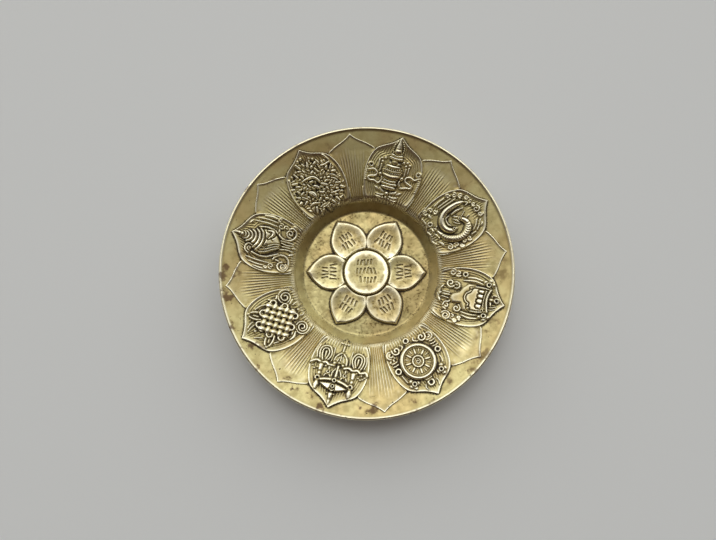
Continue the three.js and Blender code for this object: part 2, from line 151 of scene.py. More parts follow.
def add(tree, kind, settings=None, inputs=None):
    """Adds a node with its settings. Each input is a plain value, or a socket that is linked to it."""
    node = tree.nodes.new(kind)
    for key, value in (settings or {}).items():
        setattr(node, key, value)
    for key, value in (inputs or {}).items():
        if isinstance(value, bpy.types.NodeSocket):
            tree.links.new(value, node.inputs[key])
        else:
            node.inputs[key].default_value = value
    return node


def shape_tree(name, sizes):
    """A new shape tree with a geometry input, and one named number input for each size."""
    tree = bpy.data.node_groups.new(name, "GeometryNodeTree")
    tree.interface.new_socket("Geometry", in_out="INPUT", socket_type="NodeSocketGeometry")
    for key, value in sizes.items():
        kind = "NodeSocketInt" if isinstance(value, int) else "NodeSocketFloat"
        tree.interface.new_socket(key, in_out="INPUT", socket_type=kind)
    tree.interface.new_socket("Geometry", in_out="OUTPUT", socket_type="NodeSocketGeometry")
    return tree, tree.nodes.new("NodeGroupInput")


def end_tree(tree, geometry, material):
    real = add(tree, "GeometryNodeRealizeInstances", None, {"Geometry": geometry})
    dressed = add(tree, "GeometryNodeSetMaterial", None, {"Geometry": real.outputs[0], "Material": material})
    add(tree, "NodeGroupOutput", None, {"Geometry": dressed.outputs[0]})


def grown(piece, tree, sizes):
    """The piece's mesh as the tree makes it with these sizes, as a plain mesh."""
    modifier = piece.modifiers.new("shape", "NODES")
    modifier.node_group = tree
    for item in tree.interface.items_tree:
        if item.in_out == "INPUT" and item.name in sizes:
            modifier[item.identifier] = sizes[item.name]
    evaluated = piece.evaluated_get(bpy.context.evaluated_depsgraph_get())
    mesh = bpy.data.meshes.new_from_object(evaluated)
    piece.modifiers.remove(modifier)
    piece.data = mesh
    mesh.polygons.foreach_set("use_smooth", [True] * len(mesh.polygons))
    return piece


def math_node(tree, operation, first, second=0.0):
    return add(tree, "ShaderNodeMath", {"operation": operation}, {0: first, 1: second}).outputs[0]


def turned_tree(sizes, material):
    """Turns the input's row of points about the Z axis, and pits the floor of the well."""
    tree, given = shape_tree("turned_dish", sizes)
    rows = add(tree, "GeometryNodeAttributeDomainSize", None, {"Geometry": given.outputs["Geometry"]}).outputs[0]
    columns = math_node(tree, "ADD", given.outputs["Sides"], 1.0)
    grid = add(tree, "GeometryNodeMeshGrid", None, {"Vertices X": columns, "Vertices Y": rows})
    index = add(tree, "GeometryNodeInputIndex").outputs[0]
    row = math_node(tree, "MODULO", index, rows)
    column = math_node(tree, "FLOOR", math_node(tree, "DIVIDE", index, rows))
    position = add(tree, "GeometryNodeInputPosition").outputs[0]
    taken = add(tree, "GeometryNodeSampleIndex", {"data_type": "FLOAT_VECTOR"}, {
        "Geometry": given.outputs["Geometry"], "Value": position, "Index": row}).outputs[0]
    turn = math_node(tree, "MULTIPLY", math_node(tree, "DIVIDE", column, given.outputs["Sides"]), -math.tau)
    turned = add(tree, "ShaderNodeVectorRotate", {"rotation_type": "Z_AXIS"}, {"Vector": taken, "Angle": turn})
    placed = add(tree, "GeometryNodeSetPosition", None, {
        "Geometry": grid.outputs["Mesh"], "Position": turned.outputs[0]}).outputs[0]
    closed = add(tree, "GeometryNodeMergeByDistance", None, {"Geometry": placed, "Distance": 1e-6}).outputs[0]
    # Casting pits, only on the floor inside the cove
    noise = add(tree, "ShaderNodeTexNoise", None, {
        "Scale": math_node(tree, "DIVIDE", 1.0, given.outputs["Pit size"]), "Detail": 3.0, "Roughness": 0.6})
    hollow = math_node(tree, "MAXIMUM", math_node(tree, "SUBTRACT", 0.46, noise.outputs["Fac"]), 0.0)
    parts = add(tree, "ShaderNodeSeparateXYZ", None, {0: position}).outputs
    flat = add(tree, "ShaderNodeVectorMath", {"operation": "LENGTH"}, {
        0: add(tree, "ShaderNodeCombineXYZ", None, {"X": parts["X"], "Y": parts["Y"]}).outputs[0]}).outputs["Value"]
    inside = math_node(tree, "LESS_THAN", flat, given.outputs["Pitted radius"])
    above = math_node(tree, "GREATER_THAN", parts["Z"], given.outputs["Floor height"])
    depth = math_node(tree, "MULTIPLY", hollow, given.outputs["Pit depth"])
    drop = math_node(tree, "MULTIPLY", math_node(tree, "MULTIPLY", inside, above), depth)
    sunk = add(tree, "ShaderNodeCombineXYZ", None, {"Z": math_node(tree, "MULTIPLY", drop, -1.0)}).outputs[0]
    pitted = add(tree, "GeometryNodeSetPosition", None, {"Geometry": closed, "Offset": sunk}).outputs[0]
    end_tree(tree, pitted, material)
    return tree


def petal_ring_tree(name, sizes, material):
    """Repeats the input petal round the dish. Where it carries ribs, raises them first."""
    tree, given = shape_tree(name, sizes)
    petal = given.outputs["Geometry"]
    if "Rib rise" in sizes:
        rib, reach, ribbed = (
            add(tree, "GeometryNodeInputNamedAttribute", {"data_type": "FLOAT"}, {"Name": key}).outputs[0]
            for key in ("rib", "reach", "ribbed"))
        number = math_node(tree, "ROUND", rib)
        chance = add(tree, "ShaderNodeTexWhiteNoise", {"noise_dimensions": "1D"}, {"W": number}).outputs["Value"]
        wave = math_node(tree, "COSINE", math_node(tree, "MULTIPLY", rib, math.tau))
        shorter = math_node(tree, "MULTIPLY", chance, given.outputs["Uneven ends"])
        end = math_node(tree, "SUBTRACT", given.outputs["Rib end"], shorter)
        past = math_node(tree, "SUBTRACT", end, reach)
        fade_out = math_node(tree, "SMOOTH_MIN", math_node(tree, "DIVIDE", past, 11.0), 1.0)
        fade_in = math_node(tree, "MULTIPLY", math_node(tree, "SUBTRACT", reach, given.outputs["Rib start"]), 1.6)
        fade = math_node(tree, "MINIMUM", math_node(tree, "MAXIMUM", fade_out), math_node(tree, "MAXIMUM", fade_in))
        fade = math_node(tree, "MULTIPLY", math_node(tree, "MINIMUM", fade, 1.0), ribbed)
        height = math_node(tree, "MULTIPLY", math_node(tree, "MULTIPLY", wave, 0.5), given.outputs["Rib rise"])
        offset = add(tree, "ShaderNodeCombineXYZ", None, {"Z": math_node(tree, "MULTIPLY", height, fade)}).outputs[0]
        petal = add(tree, "GeometryNodeSetPosition", None, {"Geometry": petal, "Offset": offset}).outputs[0]
    points = add(tree, "GeometryNodePoints", None, {"Count": given.outputs["Count"]}).outputs[0]
    index = add(tree, "GeometryNodeInputIndex").outputs[0]
    step = math_node(tree, "DIVIDE", math.tau, given.outputs["Count"])
    bearing = math_node(tree, "MULTIPLY_ADD", index, step)
    tree.links.new(given.outputs["First bearing"], bearing.node.inputs[2])
    turn = add(tree, "ShaderNodeCombineXYZ", None, {"Z": math_node(tree, "MULTIPLY", bearing, -1.0)}).outputs[0]
    copies = add(tree, "GeometryNodeInstanceOnPoints", None, {
        "Points": points, "Instance": petal, "Rotation": turn}).outputs[0]
    end_tree(tree, copies, material)
    return tree


# Brass

def linear(colour):
    """Linear values of an sRGB hex colour."""
    channels = [int(colour[k:k + 2], 16) / 255 for k in (1, 3, 5)]
    return [c / 12.92 if c <= 0.04045 else ((c + 0.055) / 1.055) ** 2.4 for c in channels] + [1.0]


def colour_mix(tree, share, first, second):
    return add(tree, "ShaderNodeMix", {"data_type": "RGBA"}, {0: share, 6: first, 7: second}).outputs[2]


def noise(tree, place, size_mm, detail=3.0):
    """Noise whose pattern has about this size."""
    inputs = {"Vector": place, "Scale": 1 / (size_mm * MM), "Detail": detail, "Roughness": 0.55}
    return add(tree, "ShaderNodeTexNoise", None, inputs).outputs["Fac"]


def ranged(tree, value, start, stop, low=0.0, high=1.0):
    inputs = {"Value": value, "From Min": start, "From Max": stop, "To Min": low, "To Max": high}
    return add(tree, "ShaderNodeMapRange", {"interpolation_type": "SMOOTHSTEP"}, inputs).outputs["Result"]


def attribute(tree, name):
    return add(tree, "ShaderNodeAttribute", {"attribute_name": name}).outputs["Fac"]


def aged_brass():
    """Cast brass: dull gold, near white where hands rub it and as a painted highlight on what stands out, and dark
    brown patina and dirt with painted shade in the hollows.
    """
    material = bpy.data.materials.new("aged_cast_brass")
    material.use_nodes = True
    tree = material.node_tree
    shader = tree.nodes["Principled BSDF"]
    place = add(tree, "ShaderNodeTexCoord").outputs["Object"]
    parts = add(tree, "ShaderNodeSeparateXYZ", None, {0: place}).outputs
    patina_and_shade, wear_and_highlight, underside = (attribute(tree, name) for name in ("patina_and_shade", "wear_and_highlight", "underside"))
    clouds, blotches, grain = noise(tree, place, 22), noise(tree, place, 4.5), noise(tree, place, 0.7, 5.0)

    # Dull gold that drifts between olive and warm brown, near white on what stands out, as wear and a painted highlight
    plain = colour_mix(tree, ranged(tree, clouds, 0.4, 0.62), linear("#cbc08c"), linear("#c0ad7a"))
    plain = colour_mix(tree, ranged(tree, blotches, 0.38, 0.68, 0.0, 0.5), plain, linear("#a39361"))
    # The near white rubbed colour is partly wear and partly a painted highlight
    rubbed_and_highlit = colour_mix(tree, wear_and_highlight, plain, linear("#fffae2"))
    # Patina and painted shade gather in the hollows, with a ragged edge
    ragged = math_node(tree, "ADD", patina_and_shade, ranged(tree, grain, 0.3, 0.7, -0.16, 0.16))
    dark_patina_and_shade = ranged(tree, ragged, 0.26, 0.95)
    # The dark brown in the hollows is partly patina and partly painted shade
    aged_lit_and_shaded = colour_mix(tree, dark_patina_and_shade, rubbed_and_highlit, linear("#2f1f0c"))
    # Reddish brown and black spots on the plain band outside the petals, most of them at the lower left
    flat = add(tree, "ShaderNodeVectorMath", {"operation": "MULTIPLY"}, {0: place, 1: (1, 1, 0)}).outputs[0]
    radius = add(tree, "ShaderNodeVectorMath", {"operation": "LENGTH"}, {0: flat}).outputs["Value"]
    lower_left = math_node(tree, "MULTIPLY", math_node(tree, "ADD", parts["X"], parts["Y"]), -1.0)
    outer = math_node(tree, "MULTIPLY", ranged(tree, radius, 0.058, 0.063), ranged(tree, lower_left, -0.09, 0.09, 0.35, 1))
    spots = math_node(tree, "MULTIPLY", ranged(tree, noise(tree, place, 5.5, 4.0), 0.56, 0.68), outer)
    aged_lit_and_shaded = colour_mix(tree, math_node(tree, "MULTIPLY", spots, 0.75), aged_lit_and_shaded, linear("#5c341a"))
    specks = math_node(tree, "MULTIPLY", ranged(tree, noise(tree, place, 1.6, 3.0), 0.66, 0.74), outer)
    aged_lit_and_shaded = colour_mix(tree, specks, aged_lit_and_shaded, linear("#2a1a0e"))
    # Dark specks in the pits of the floor of the well
    patches = ranged(tree, noise(tree, place, 9), 0.35, 0.62, 0.15, 0.9)
    floor = math_node(tree, "MULTIPLY", ranged(tree, radius, 0.0335, 0.0315), ranged(tree, noise(tree, place, 1.1, 2.0), 0.5, 0.72))
    pits = math_node(tree, "MULTIPLY", math_node(tree, "MULTIPLY", floor, patches), ranged(tree, wear_and_highlight, 0.0, 0.3, 1.0, 0.15))
    aged_lit_and_shaded = colour_mix(tree, pits, aged_lit_and_shaded, linear("#5a4524"))
    dull = math_node(tree, "MAXIMUM", dark_patina_and_shade, math_node(tree, "MULTIPLY", spots, 0.7))
    tree.links.new(aged_lit_and_shaded, shader.inputs["Base Color"])
    tree.links.new(ranged(tree, dull, 0, 1, 0.95, 0.25), shader.inputs["Metallic"])
    rough = math_node(tree, "ADD", ranged(tree, math_node(tree, "SUBTRACT", dull, wear_and_highlight), -1, 1, 0.27, 0.62), ranged(tree, blotches, 0.3, 0.7, -0.04, 0.08))
    tree.links.new(rough, shader.inputs["Roughness"])

    # The sand-cast skin, and turned rings on the underside
    rings = add(tree, "ShaderNodeTexWave", {"wave_type": "RINGS", "rings_direction": "Z"}, {
        "Vector": place, "Scale": 190.0, "Distortion": 1.5}).outputs["Fac"]
    skin = math_node(tree, "ADD", noise(tree, place, 0.35, 4.0), noise(tree, place, 1.8))
    height = math_node(tree, "ADD", skin, math_node(tree, "MULTIPLY", rings, underside))
    bump = add(tree, "ShaderNodeBump", None, {"Strength": 0.35, "Distance": 0.06 * MM, "Height": height}).outputs[0]
    tree.links.new(bump, shader.inputs["Normal"])
    return material


brass = aged_brass()

# Body

def build_body():
    inside = np.arange(0, CREST_RADIUS - 0.2, 0.45)
    lip = [(CREST_RADIUS, HEIGHT - 0.02), (RIM_RADIUS - 0.5, HEIGHT - 0.16), (RIM_RADIUS - 0.12, HEIGHT - 0.5)]
    lip += [(RIM_RADIUS, HEIGHT - 0.95), (RIM_RADIUS, HEIGHT - 1.5), (RIM_RADIUS - 0.25, HEIGHT - 1.85)]
    wall = [(r, np.interp(r, (37.6, RIM_RADIUS), (8.1, HEIGHT - 1.75))) for r in np.linspace(RIM_RADIUS - 1, 39, 12)]
    foot = [(37.4, 7.9), (36.6, 6.9), (FOOT_RADIUS + 1.2, 2.8), (FOOT_RADIUS + 0.2, 0.45), (FOOT_RADIUS - 0.3, 0)]
    foot += [(FOOT_RADIUS - FOOT_WIDTH + 0.3, 0), (FOOT_RADIUS - FOOT_WIDTH, 0.3)]
    foot += [(FOOT_RADIUS - FOOT_WIDTH - 0.35, FOOT_DEPTH - 0.3), (FOOT_RADIUS - FOOT_WIDTH - 0.8, FOOT_DEPTH)]
    under = [(r, FOOT_DEPTH) for r in (24, 18, 12, 6, 0)]
    profile = [(r, float(inside_z(r))) for r in inside] + lip + wall + foot + under
    points = np.array([(r * MM, 0, z * MM) for r, z in profile])
    line = mesh_object("dish_body", points, [])
    sizes = {
        "Sides": 400, "Pitted radius": (WELL_RADIUS - 0.5) * MM, "Floor height": (FOOT_DEPTH + 0.5) * MM,
        "Pit size": 1.3 * MM, "Pit depth": 0.6 * MM,
    }
    return grown(line, turned_tree(sizes, brass), sizes)


# Petals

def upper_half_width(v):
    """Half width in mm of an upper petal, from its base in the cove to its pointed tip."""
    side = (
        (34.6, 9.5), (36.5, 10.9), (38.5, 12.0), (42, 13.3), (46, 14.2), (49.5, 14.45), (54, 14.0), (57, 13.1),
        (59, 12.1), (60.6, 10.7), (61.7, 9.1), (62.6, 7.4), (63.5, 5.6), (64.6, 3.8), (66, 2.0), (67.8, 0.12),
    )
    return through(side, v)


def lower_half_width(v):
    """Half width in mm of a lower petal. Up to its shoulder, its sides lie under the upper petals."""
    side = (
        (34.6, 5.2), (42, 4.6), (50, 5.4), (54, 7.6), (58, 10.6), (59.6, 11.8), (60.6, 11.2), (61.8, 9.6), (62.9, 8.0),
        (64, 6.0), (65, 4.1), (66.3, 2.1), (68, 0.12),
    )
    return through(side, v)


def gap_to_sides(u, v, half_width, start, stop):
    """Distance in mm from each point to the petal's sides, without its base."""
    along = np.linspace(start, stop, 360)
    across = half_width(along)
    gap = np.full(u.shape, 99.0)
    for side in (-1, 1):
        for cu, cv in zip(side * across, along):
            gap = np.minimum(gap, np.hypot(u - cu, v - cv))
    return gap


def petal_grid(half_width, start, stop, rows, columns):
    """Rows run from an arc round the dish's centre, at the petal's base, to its tip."""
    v = np.linspace(start, stop, rows)[:, None]
    u = np.linspace(-1, 1, columns)[None, :] * half_width(v)
    arc = (start - np.sqrt(start ** 2 - u ** 2)) * (1 - smoothstep(v, start, start + 0.3 * (stop - start)))
    return u, v - arc


def rounded(gap, width):
    """Rises from 0 at an outline to 1 at this width inside it, along a quarter circle."""
    return np.sqrt(np.clip(1 - (1 - np.clip(gap / width, 0, 1)) ** 2, 0, 1))


def rounded_border(gap, top, inner, width):
    """Height of a narrow rounded crest that slopes gently down to the inner height over this width."""
    slope = np.clip((gap - 0.4) / width, 0, 1)
    return top * rounded(gap, 0.55) + (inner - top) * (1 - (1 - slope) ** 2)


# Relief

def bend(points):
    """A smooth path through a few points. A path of many points is kept as it is."""
    points = np.array(points, float)
    if len(points) < 3 or len(points) > 14:
        return points
    padded = np.concatenate([[2 * points[0] - points[1]], points, [2 * points[-1] - points[-2]]])
    t = np.linspace(0, 1, 6, endpoint=False)[:, None]
    path = []
    for a, b, c, d in zip(padded, padded[1:], padded[2:], padded[3:]):
        path.append(b + 0.5 * t * (c - a + t * (2 * a - 5 * b + 4 * c - d + t * (3 * b - a - 3 * c + d))))
    return np.concatenate([*path, points[-1:]])


def oval(u, v, half_u, half_v=None):
    turn = np.linspace(0, math.tau, 33)
    return np.stack([u + half_u * np.sin(turn), v + (half_v or half_u) * np.cos(turn)], -1)


def spiral(u, v, radius, turns, start):
    """A path that winds in. It starts at an angle clockwise from up, and negative turns run the other way."""
    t = np.linspace(0, 1, 16 + int(10 * abs(turns)))
    turn = math.radians(start) + math.tau * turns * t
    reach = radius * (1 - 0.8 * t)
    return np.stack([u + reach * np.sin(turn), v + reach * np.cos(turn)], -1)


class Relief:
    """Heights in mm over a field. Forms are laid one over another, and each one cuts a narrow gap round itself."""

    def __init__(self, u, v, height=None):
        self.u = u
        self.v = v
        self.height = np.zeros(u.shape) if height is None else height

    def near(self, path, reach):
        low, high = path.min(0) - reach, path.max(0) + reach
        return (self.u > low[0]) & (self.u < high[0]) & (self.v > low[1]) & (self.v < high[1])

    def measure(self, path, reach):
        """The points near a path, their distances from it and how far along it they are, from 0 to 1."""
        near = self.near(path, reach)
        points = np.stack([self.u[near], self.v[near]], -1)
        gap = np.full(len(points), 99.0)
        along = np.zeros(len(points))
        for k, (start, end) in enumerate(zip(path, path[1:])):
            step = end - start
            t = np.clip((points - start) @ step / max(step @ step, 1e-9), 0, 1)
            away = np.linalg.norm(points - start - t[:, None] * step, axis=1)
            closer = away < gap
            gap[closer] = away[closer]
            along[closer] = (k + t[closer]) / (len(path) - 1)
        return near, gap, along

    def lay(self, near, inside, form, cut=0.85, moat=0.35):
        clear = smoothstep(-inside, 0, moat)
        old = self.height[near] * (1 - cut * (1 - clear))
        self.height[near] = np.maximum(np.where(inside > 0, form, -9), old)

    def ridge(self, points, width=1.0, rise=1.0):
        """A rounded ridge. Its width and rise are numbers, or rows of numbers that are spread along it."""
        widths, rises = np.atleast_1d(width) * STROKE, np.atleast_1d(rise)
        near, gap, along = self.measure(bend(points), widths.max() / 2 + 0.4)
        half = np.interp(along, np.linspace(0, 1, len(widths)), widths) / 2
        top = np.interp(along, np.linspace(0, 1, len(rises)), rises)
        self.lay(near, half - gap, top * np.sqrt(np.clip(1 - (gap / half) ** 2, 0, 1)))

    def ball(self, u, v, radius=0.5, rise=1.0):
        near = self.near(np.array([(u, v)]), radius + 0.4)
        gap = np.hypot(self.u[near] - u, self.v[near] - v)
        self.lay(near, radius - gap, rise * np.sqrt(np.clip(1 - (gap / radius) ** 2, 0, 1)))

    def beads(self, points, radius=0.45, rise=1.0):
        path = bend(points)
        reach = np.concatenate([[0], np.cumsum(np.linalg.norm(np.diff(path, axis=0), axis=1))])
        for place in np.linspace(0, reach[-1], max(round(reach[-1] / (2.2 * radius)), 1) + 1):
            self.ball(np.interp(place, reach, path[:, 0]), np.interp(place, reach, path[:, 1]), radius, rise)

    def plate(self, outline, rise=1.0, edge=0.6):
        """A raised shape with a rounded edge. A wide edge makes it a dome."""
        path = np.array([*outline, outline[0]], float)
        near, gap, along = self.measure(path, 0.4)
        pu, pv = self.u[near], self.v[near]
        odd = np.zeros(len(pu), bool)
        for (au, av), (bu, bv) in zip(path, path[1:]):
            crosses = (av > pv) != (bv > pv)
            odd ^= crosses & (pu < au + (pv - av) * (bu - au) / (bv - av if bv != av else 1))
        inside = np.where(odd, gap, -gap)
        self.lay(near, inside, rise * np.sqrt(np.clip(1 - (1 - np.clip(inside / edge, 0, 1)) ** 2, 0, 1)))

    def groove(self, points, width=0.5, depth=0.4):
        near, gap, along = self.measure(bend(points), width)
        self.height[near] -= depth * np.clip(1 - (2 * gap / width) ** 2, 0, 1)

    def bar(self, u, v, half, width=1.1, rise=1.2, sag=0.3):
        self.ridge([(u - half, v + sag / 2), (u, v - sag / 2), (u + half, v + sag / 2)], width, rise)

    def leaf(self, points, width=1.4, rise=1.0):
        self.ridge(points, (0.3 * width, 0.85 * width, width, 0.8 * width, 0.2 * width), rise)
        self.groove(points, 0.45, 0.3)

    def eye(self, u, v, radius=1.2, rise=1.1):
        """A ring round a small dark hollow."""
        self.ball(u, v, radius, rise * 0.6)
        self.ridge(oval(u, v, radius * 0.72), radius * 0.62, rise)
        self.groove([(u, v), (u, v + 0.01)], radius * 0.9, rise * 0.7)

    def scales(self, points, width, pitch=1.1):
        """Curved grooves across a body that follows a path."""
        path = bend(points)
        step = np.diff(path, axis=0)
        reach = np.concatenate([[0], np.cumsum(np.linalg.norm(step, axis=1))])
        for place in np.arange(pitch, reach[-1] - pitch / 2, pitch):
            k = min(np.searchsorted(reach, place) - 1, len(step) - 1)
            ahead = step[k] / np.linalg.norm(step[k])
            across = np.array([ahead[1], -ahead[0]])
            centre = path[k] + ahead * (place - reach[k])
            curve = [centre + across * side * width / 2 - ahead * side * side * width / 4 for side in (-1, 0, 1)]
            self.groove(curve, 0.45, 0.4)


def vase(r):
    """The treasure vase: a round body with a lid and a foot, tied with ribbons and set on leaves."""
    for leaf in (
        [(-2, 40.2), (-4.3, 41.4), (-5, 42.5)], [(-4.9, 40.7), (-7.2, 42.3)], [(0.4, 40.3), (2.9, 41), (4, 42.2)],
        [(3.9, 40.3), (6.4, 41.9)], [(-1.6, 39.6), (-3.6, 38.7), (-5.9, 39.2)], [(-2.2, 36.6), (-3.2, 37.4), (-6, 38)],
        [(0.5, 39.1), (2.5, 38.4), (5.4, 39.4)], [(1.4, 37.6), (3.2, 36.9), (4.8, 37.6)], [(-2.2, 38.2), (-2.3, 35.8)],
        [(0.8, 38.2), (1, 35.8)], [(-0.7, 38.9), (-0.7, 35.9)],
    ):
        r.leaf(leaf, 1.25, 0.9)
    r.ball(-0.7, 40, 1.1, 1.2)
    r.ridge([(-12.9, 48.8), (-10, 49.9), (-8, 48.6), (-8.2, 47.1), (-11, 46.2), (-11.7, 45.2), (-10.6, 44.3),
             (-8.5, 44.6), (-6.5, 43.9), (-5.3, 44.9), (-4.9, 46.5), (-6, 48.8)], 1.15, 0.95)
    r.ridge([(12.9, 50.4), (11, 49.2), (8.5, 50.1), (6.8, 49.2), (6.8, 47.6), (8.8, 46.6), (10.3, 46), (9.9, 44.9),
             (8.2, 44.8), (5.6, 44.1), (4.2, 44.9)], 1.15, 0.95)
    r.ridge([(5.3, 49.6), (4.3, 47.8), (3.9, 46), (4.6, 44.8)], 0.9, 1.0)
    r.eye(-11.7, 51.7, 1.35)
    r.eye(12.2, 52.1, 1.35)
    r.beads([(-13, 50), (-13.1, 47.6), (-12.6, 44.2)], 0.42, 0.75)
    r.beads([(13, 49), (13.1, 46.8), (12.5, 43.6)], 0.42, 0.75)
    r.plate(oval(-0.8, 43, 3.9, 1.15), 1.3, 0.8)
    for v, half in ((44.6, 3.4), (46, 2.8), (47.3, 3.1)):
        r.bar(-0.8, v, half, 1.2, 1.35)
    for side in (-1, 1):
        for u, low in ((6.2, 50), (7.6, 51.2)):
            r.ridge([(side * u - 0.6, low), (side * u - 0.6, 55.4)], 0.8, 0.75)
        r.ball(side * 5.4 - 0.7, 48.4, 1.05, 1.4)
    r.plate(oval(-0.8, 50.6, 5.2, 4.2), 2.0, 3.6)
    for v in (52.5, 50.6, 48.8):
        r.groove([(-5.4, v + 0.5), (-0.8, v - 0.3), (3.8, v + 0.5)], 0.5, 0.45)
    r.beads([(-5.2, 52), (-0.8, 51.4), (3.6, 52)], 0.45, 1.95)
    r.beads([(-5, 50.1), (-0.8, 49.5), (3.4, 50.1)], 0.45, 1.95)
    r.plate(oval(-0.6, 54.6, 3.3, 0.95), 1.5, 0.9)
    r.ridge([(-0.6, 55.4), (-0.5, 56.6)], 2.8, 0.9)
    for v, half in ((57, 2.9), (58.4, 2.5), (59.7, 1.8)):
        r.bar(-0.4, v, half, 1.2, 1.35)
    r.ridge([(-0.3, 60.5), (-0.3, 63.4), (-0.3, 66.4)], (3.3, 2.3, 0.6), (1.6, 1.3, 0.7))
    r.groove([(-1.8, 61.6), (-0.3, 61.2), (1.2, 61.6)], 0.45, 0.4)
    r.beads([(-3, 60.6), (-2.8, 62.8), (-1.6, 65)], 0.42, 0.8)
    r.beads([(2.3, 60.6), (2.1, 62.8), (1, 65)], 0.42, 0.8)
    for u, v in ((-7.3, 55.8), (-5.6, 56.4), (-6.6, 54.4), (3.8, 56), (5.6, 56.4), (5.3, 54.6), (7, 55.4)):
        r.ball(u, v, 0.8, 1.0)


def fish(r):
    """Two golden fish curled round each other, among curls of water."""
    for u, v, size, start in (
        (0.7, 61, 1.7, 300), (3.7, 61.4, 1.2, 20), (-2, 61, 1.0, 90), (-4.2, 60, 1.2, 200), (-6.6, 59.8, 1.1, 40),
        (-8.9, 57.9, 1.2, 120), (-10.6, 55.4, 1.2, 300), (-12, 52.7, 1.1, 30), (11.2, 51.3, 1.3, 60),
        (11.1, 48.6, 1.2, 250), (12.5, 46.6, 1.1, 30), (10.9, 44.6, 1.4, 140), (10.2, 41.4, 1.5, 300),
        (-8.5, 43.8, 1.2, 10), (-10.2, 42.1, 1.3, 200), (-10.8, 39.4, 1.4, 60), (7.8, 59, 1.2, 280),
    ):
        r.ridge(spiral(u, v, size, 1.2, start), 0.85, 0.95)
    for path in (
        [(-11.9, 50.5), (-11.7, 47.6), (-11, 45)], [(-10.2, 53), (-10, 49.5), (-9.6, 46)], [(-8.9, 55), (-8.7, 51), (-8.4, 46.6)],
        [(6, 60.2), (8.1, 58.4), (9.7, 56.4)], [(5.2, 58.8), (7.2, 57.2), (8.8, 55)], [(10.1, 55.4), (10.2, 53.2)],
        [(-8.5, 36.8), (-5, 37.2), (-2.5, 35.9), (0, 36.4), (3, 35.6), (5.6, 36.6)],
    ):
        r.ridge(path, 0.8, 0.75)
    r.eye(-4.4, 38.8, 1.4)
    for leaf in ([(-3, 38), (-1.2, 38.6), (0.2, 38)], [(0.6, 38.2), (2.6, 39.4), (4.6, 39)], [(5, 38), (7, 39.2), (8.8, 39)],
                 [(-6.4, 40.8), (-8, 40.4), (-9.2, 41)]):
        r.leaf(leaf, 1.3, 0.9)
    right = [(-1.9, 50.3), (0.7, 52.5), (3.5, 54.2), (6, 53.6), (8, 51.4), (8.7, 48.4), (7.7, 45.2), (5.5, 42.4), (2.5, 40.8),
             (-0.8, 39.9)]
    r.ridge(right, (0.9, 1.8, 2.4, 3, 3.1, 3.1, 3.1, 2.8, 2, 0.8), (1, 1.4, 1.7, 1.8, 1.8, 1.8, 1.8, 1.6, 1.3, 1))
    r.scales(right[2:-1], 2.8, 1.15)
    left = [(-5.3, 58.4), (-6.3, 55), (-6.4, 51), (-5.7, 47.4), (-3.7, 44.8), (-0.8, 43.7), (1.9, 44.3), (3.7, 46.2), (3.9, 48.6)]
    r.ridge(left, (0.8, 2, 2.5, 2.7, 2.8, 2.8, 2.7, 2.4, 1.3), (1, 1.4, 1.7, 1.8, 1.8, 1.8, 1.8, 1.6, 1.2))
    r.groove([(-6, 54.6), (-6, 51), (-5.3, 47.6), (-3.5, 45.3)], 0.4, 0.35)
    r.ridge([(-3.3, 48.6), (-2.7, 46.4), (0, 46), (1.5, 47)], (0.5, 0.9, 0.9, 0.6), 1.4)
    r.ridge([(-3.1, 56), (-3.6, 52.5), (-3.3, 49.6)], (0.6, 1.3, 0.7), 1.1)
    r.ridge([(-1.5, 55.8), (-0.3, 54.1), (0.1, 52.9)], 0.6, 0.9)
    r.ridge([(1.3, 56.6), (1.6, 55.3)], 0.7, 0.9)
    r.ridge([(-0.9, 49.4), (0.9, 50.7), (2.4, 51.4)], (0.5, 1.1, 0.5), 1.2)
    r.ridge([(0.4, 48.9), (1.9, 49.9), (2.9, 51.2)], 0.6, 1.0)
    r.eye(3.5, 47.6, 0.75, 1.9)
    r.eye(0.4, 52.1, 0.7, 1.7)
    r.ridge([(-5.2, 58.2), (-4, 59), (-3.6, 57.6)], 0.8, 1.2)
    r.ridge([(-0.8, 39.9), (-2.2, 41.2)], (1.2, 0.4), 1.2)
    r.ridge([(-0.8, 39.9), (-1.9, 39.2)], (1.2, 0.4), 1.2)


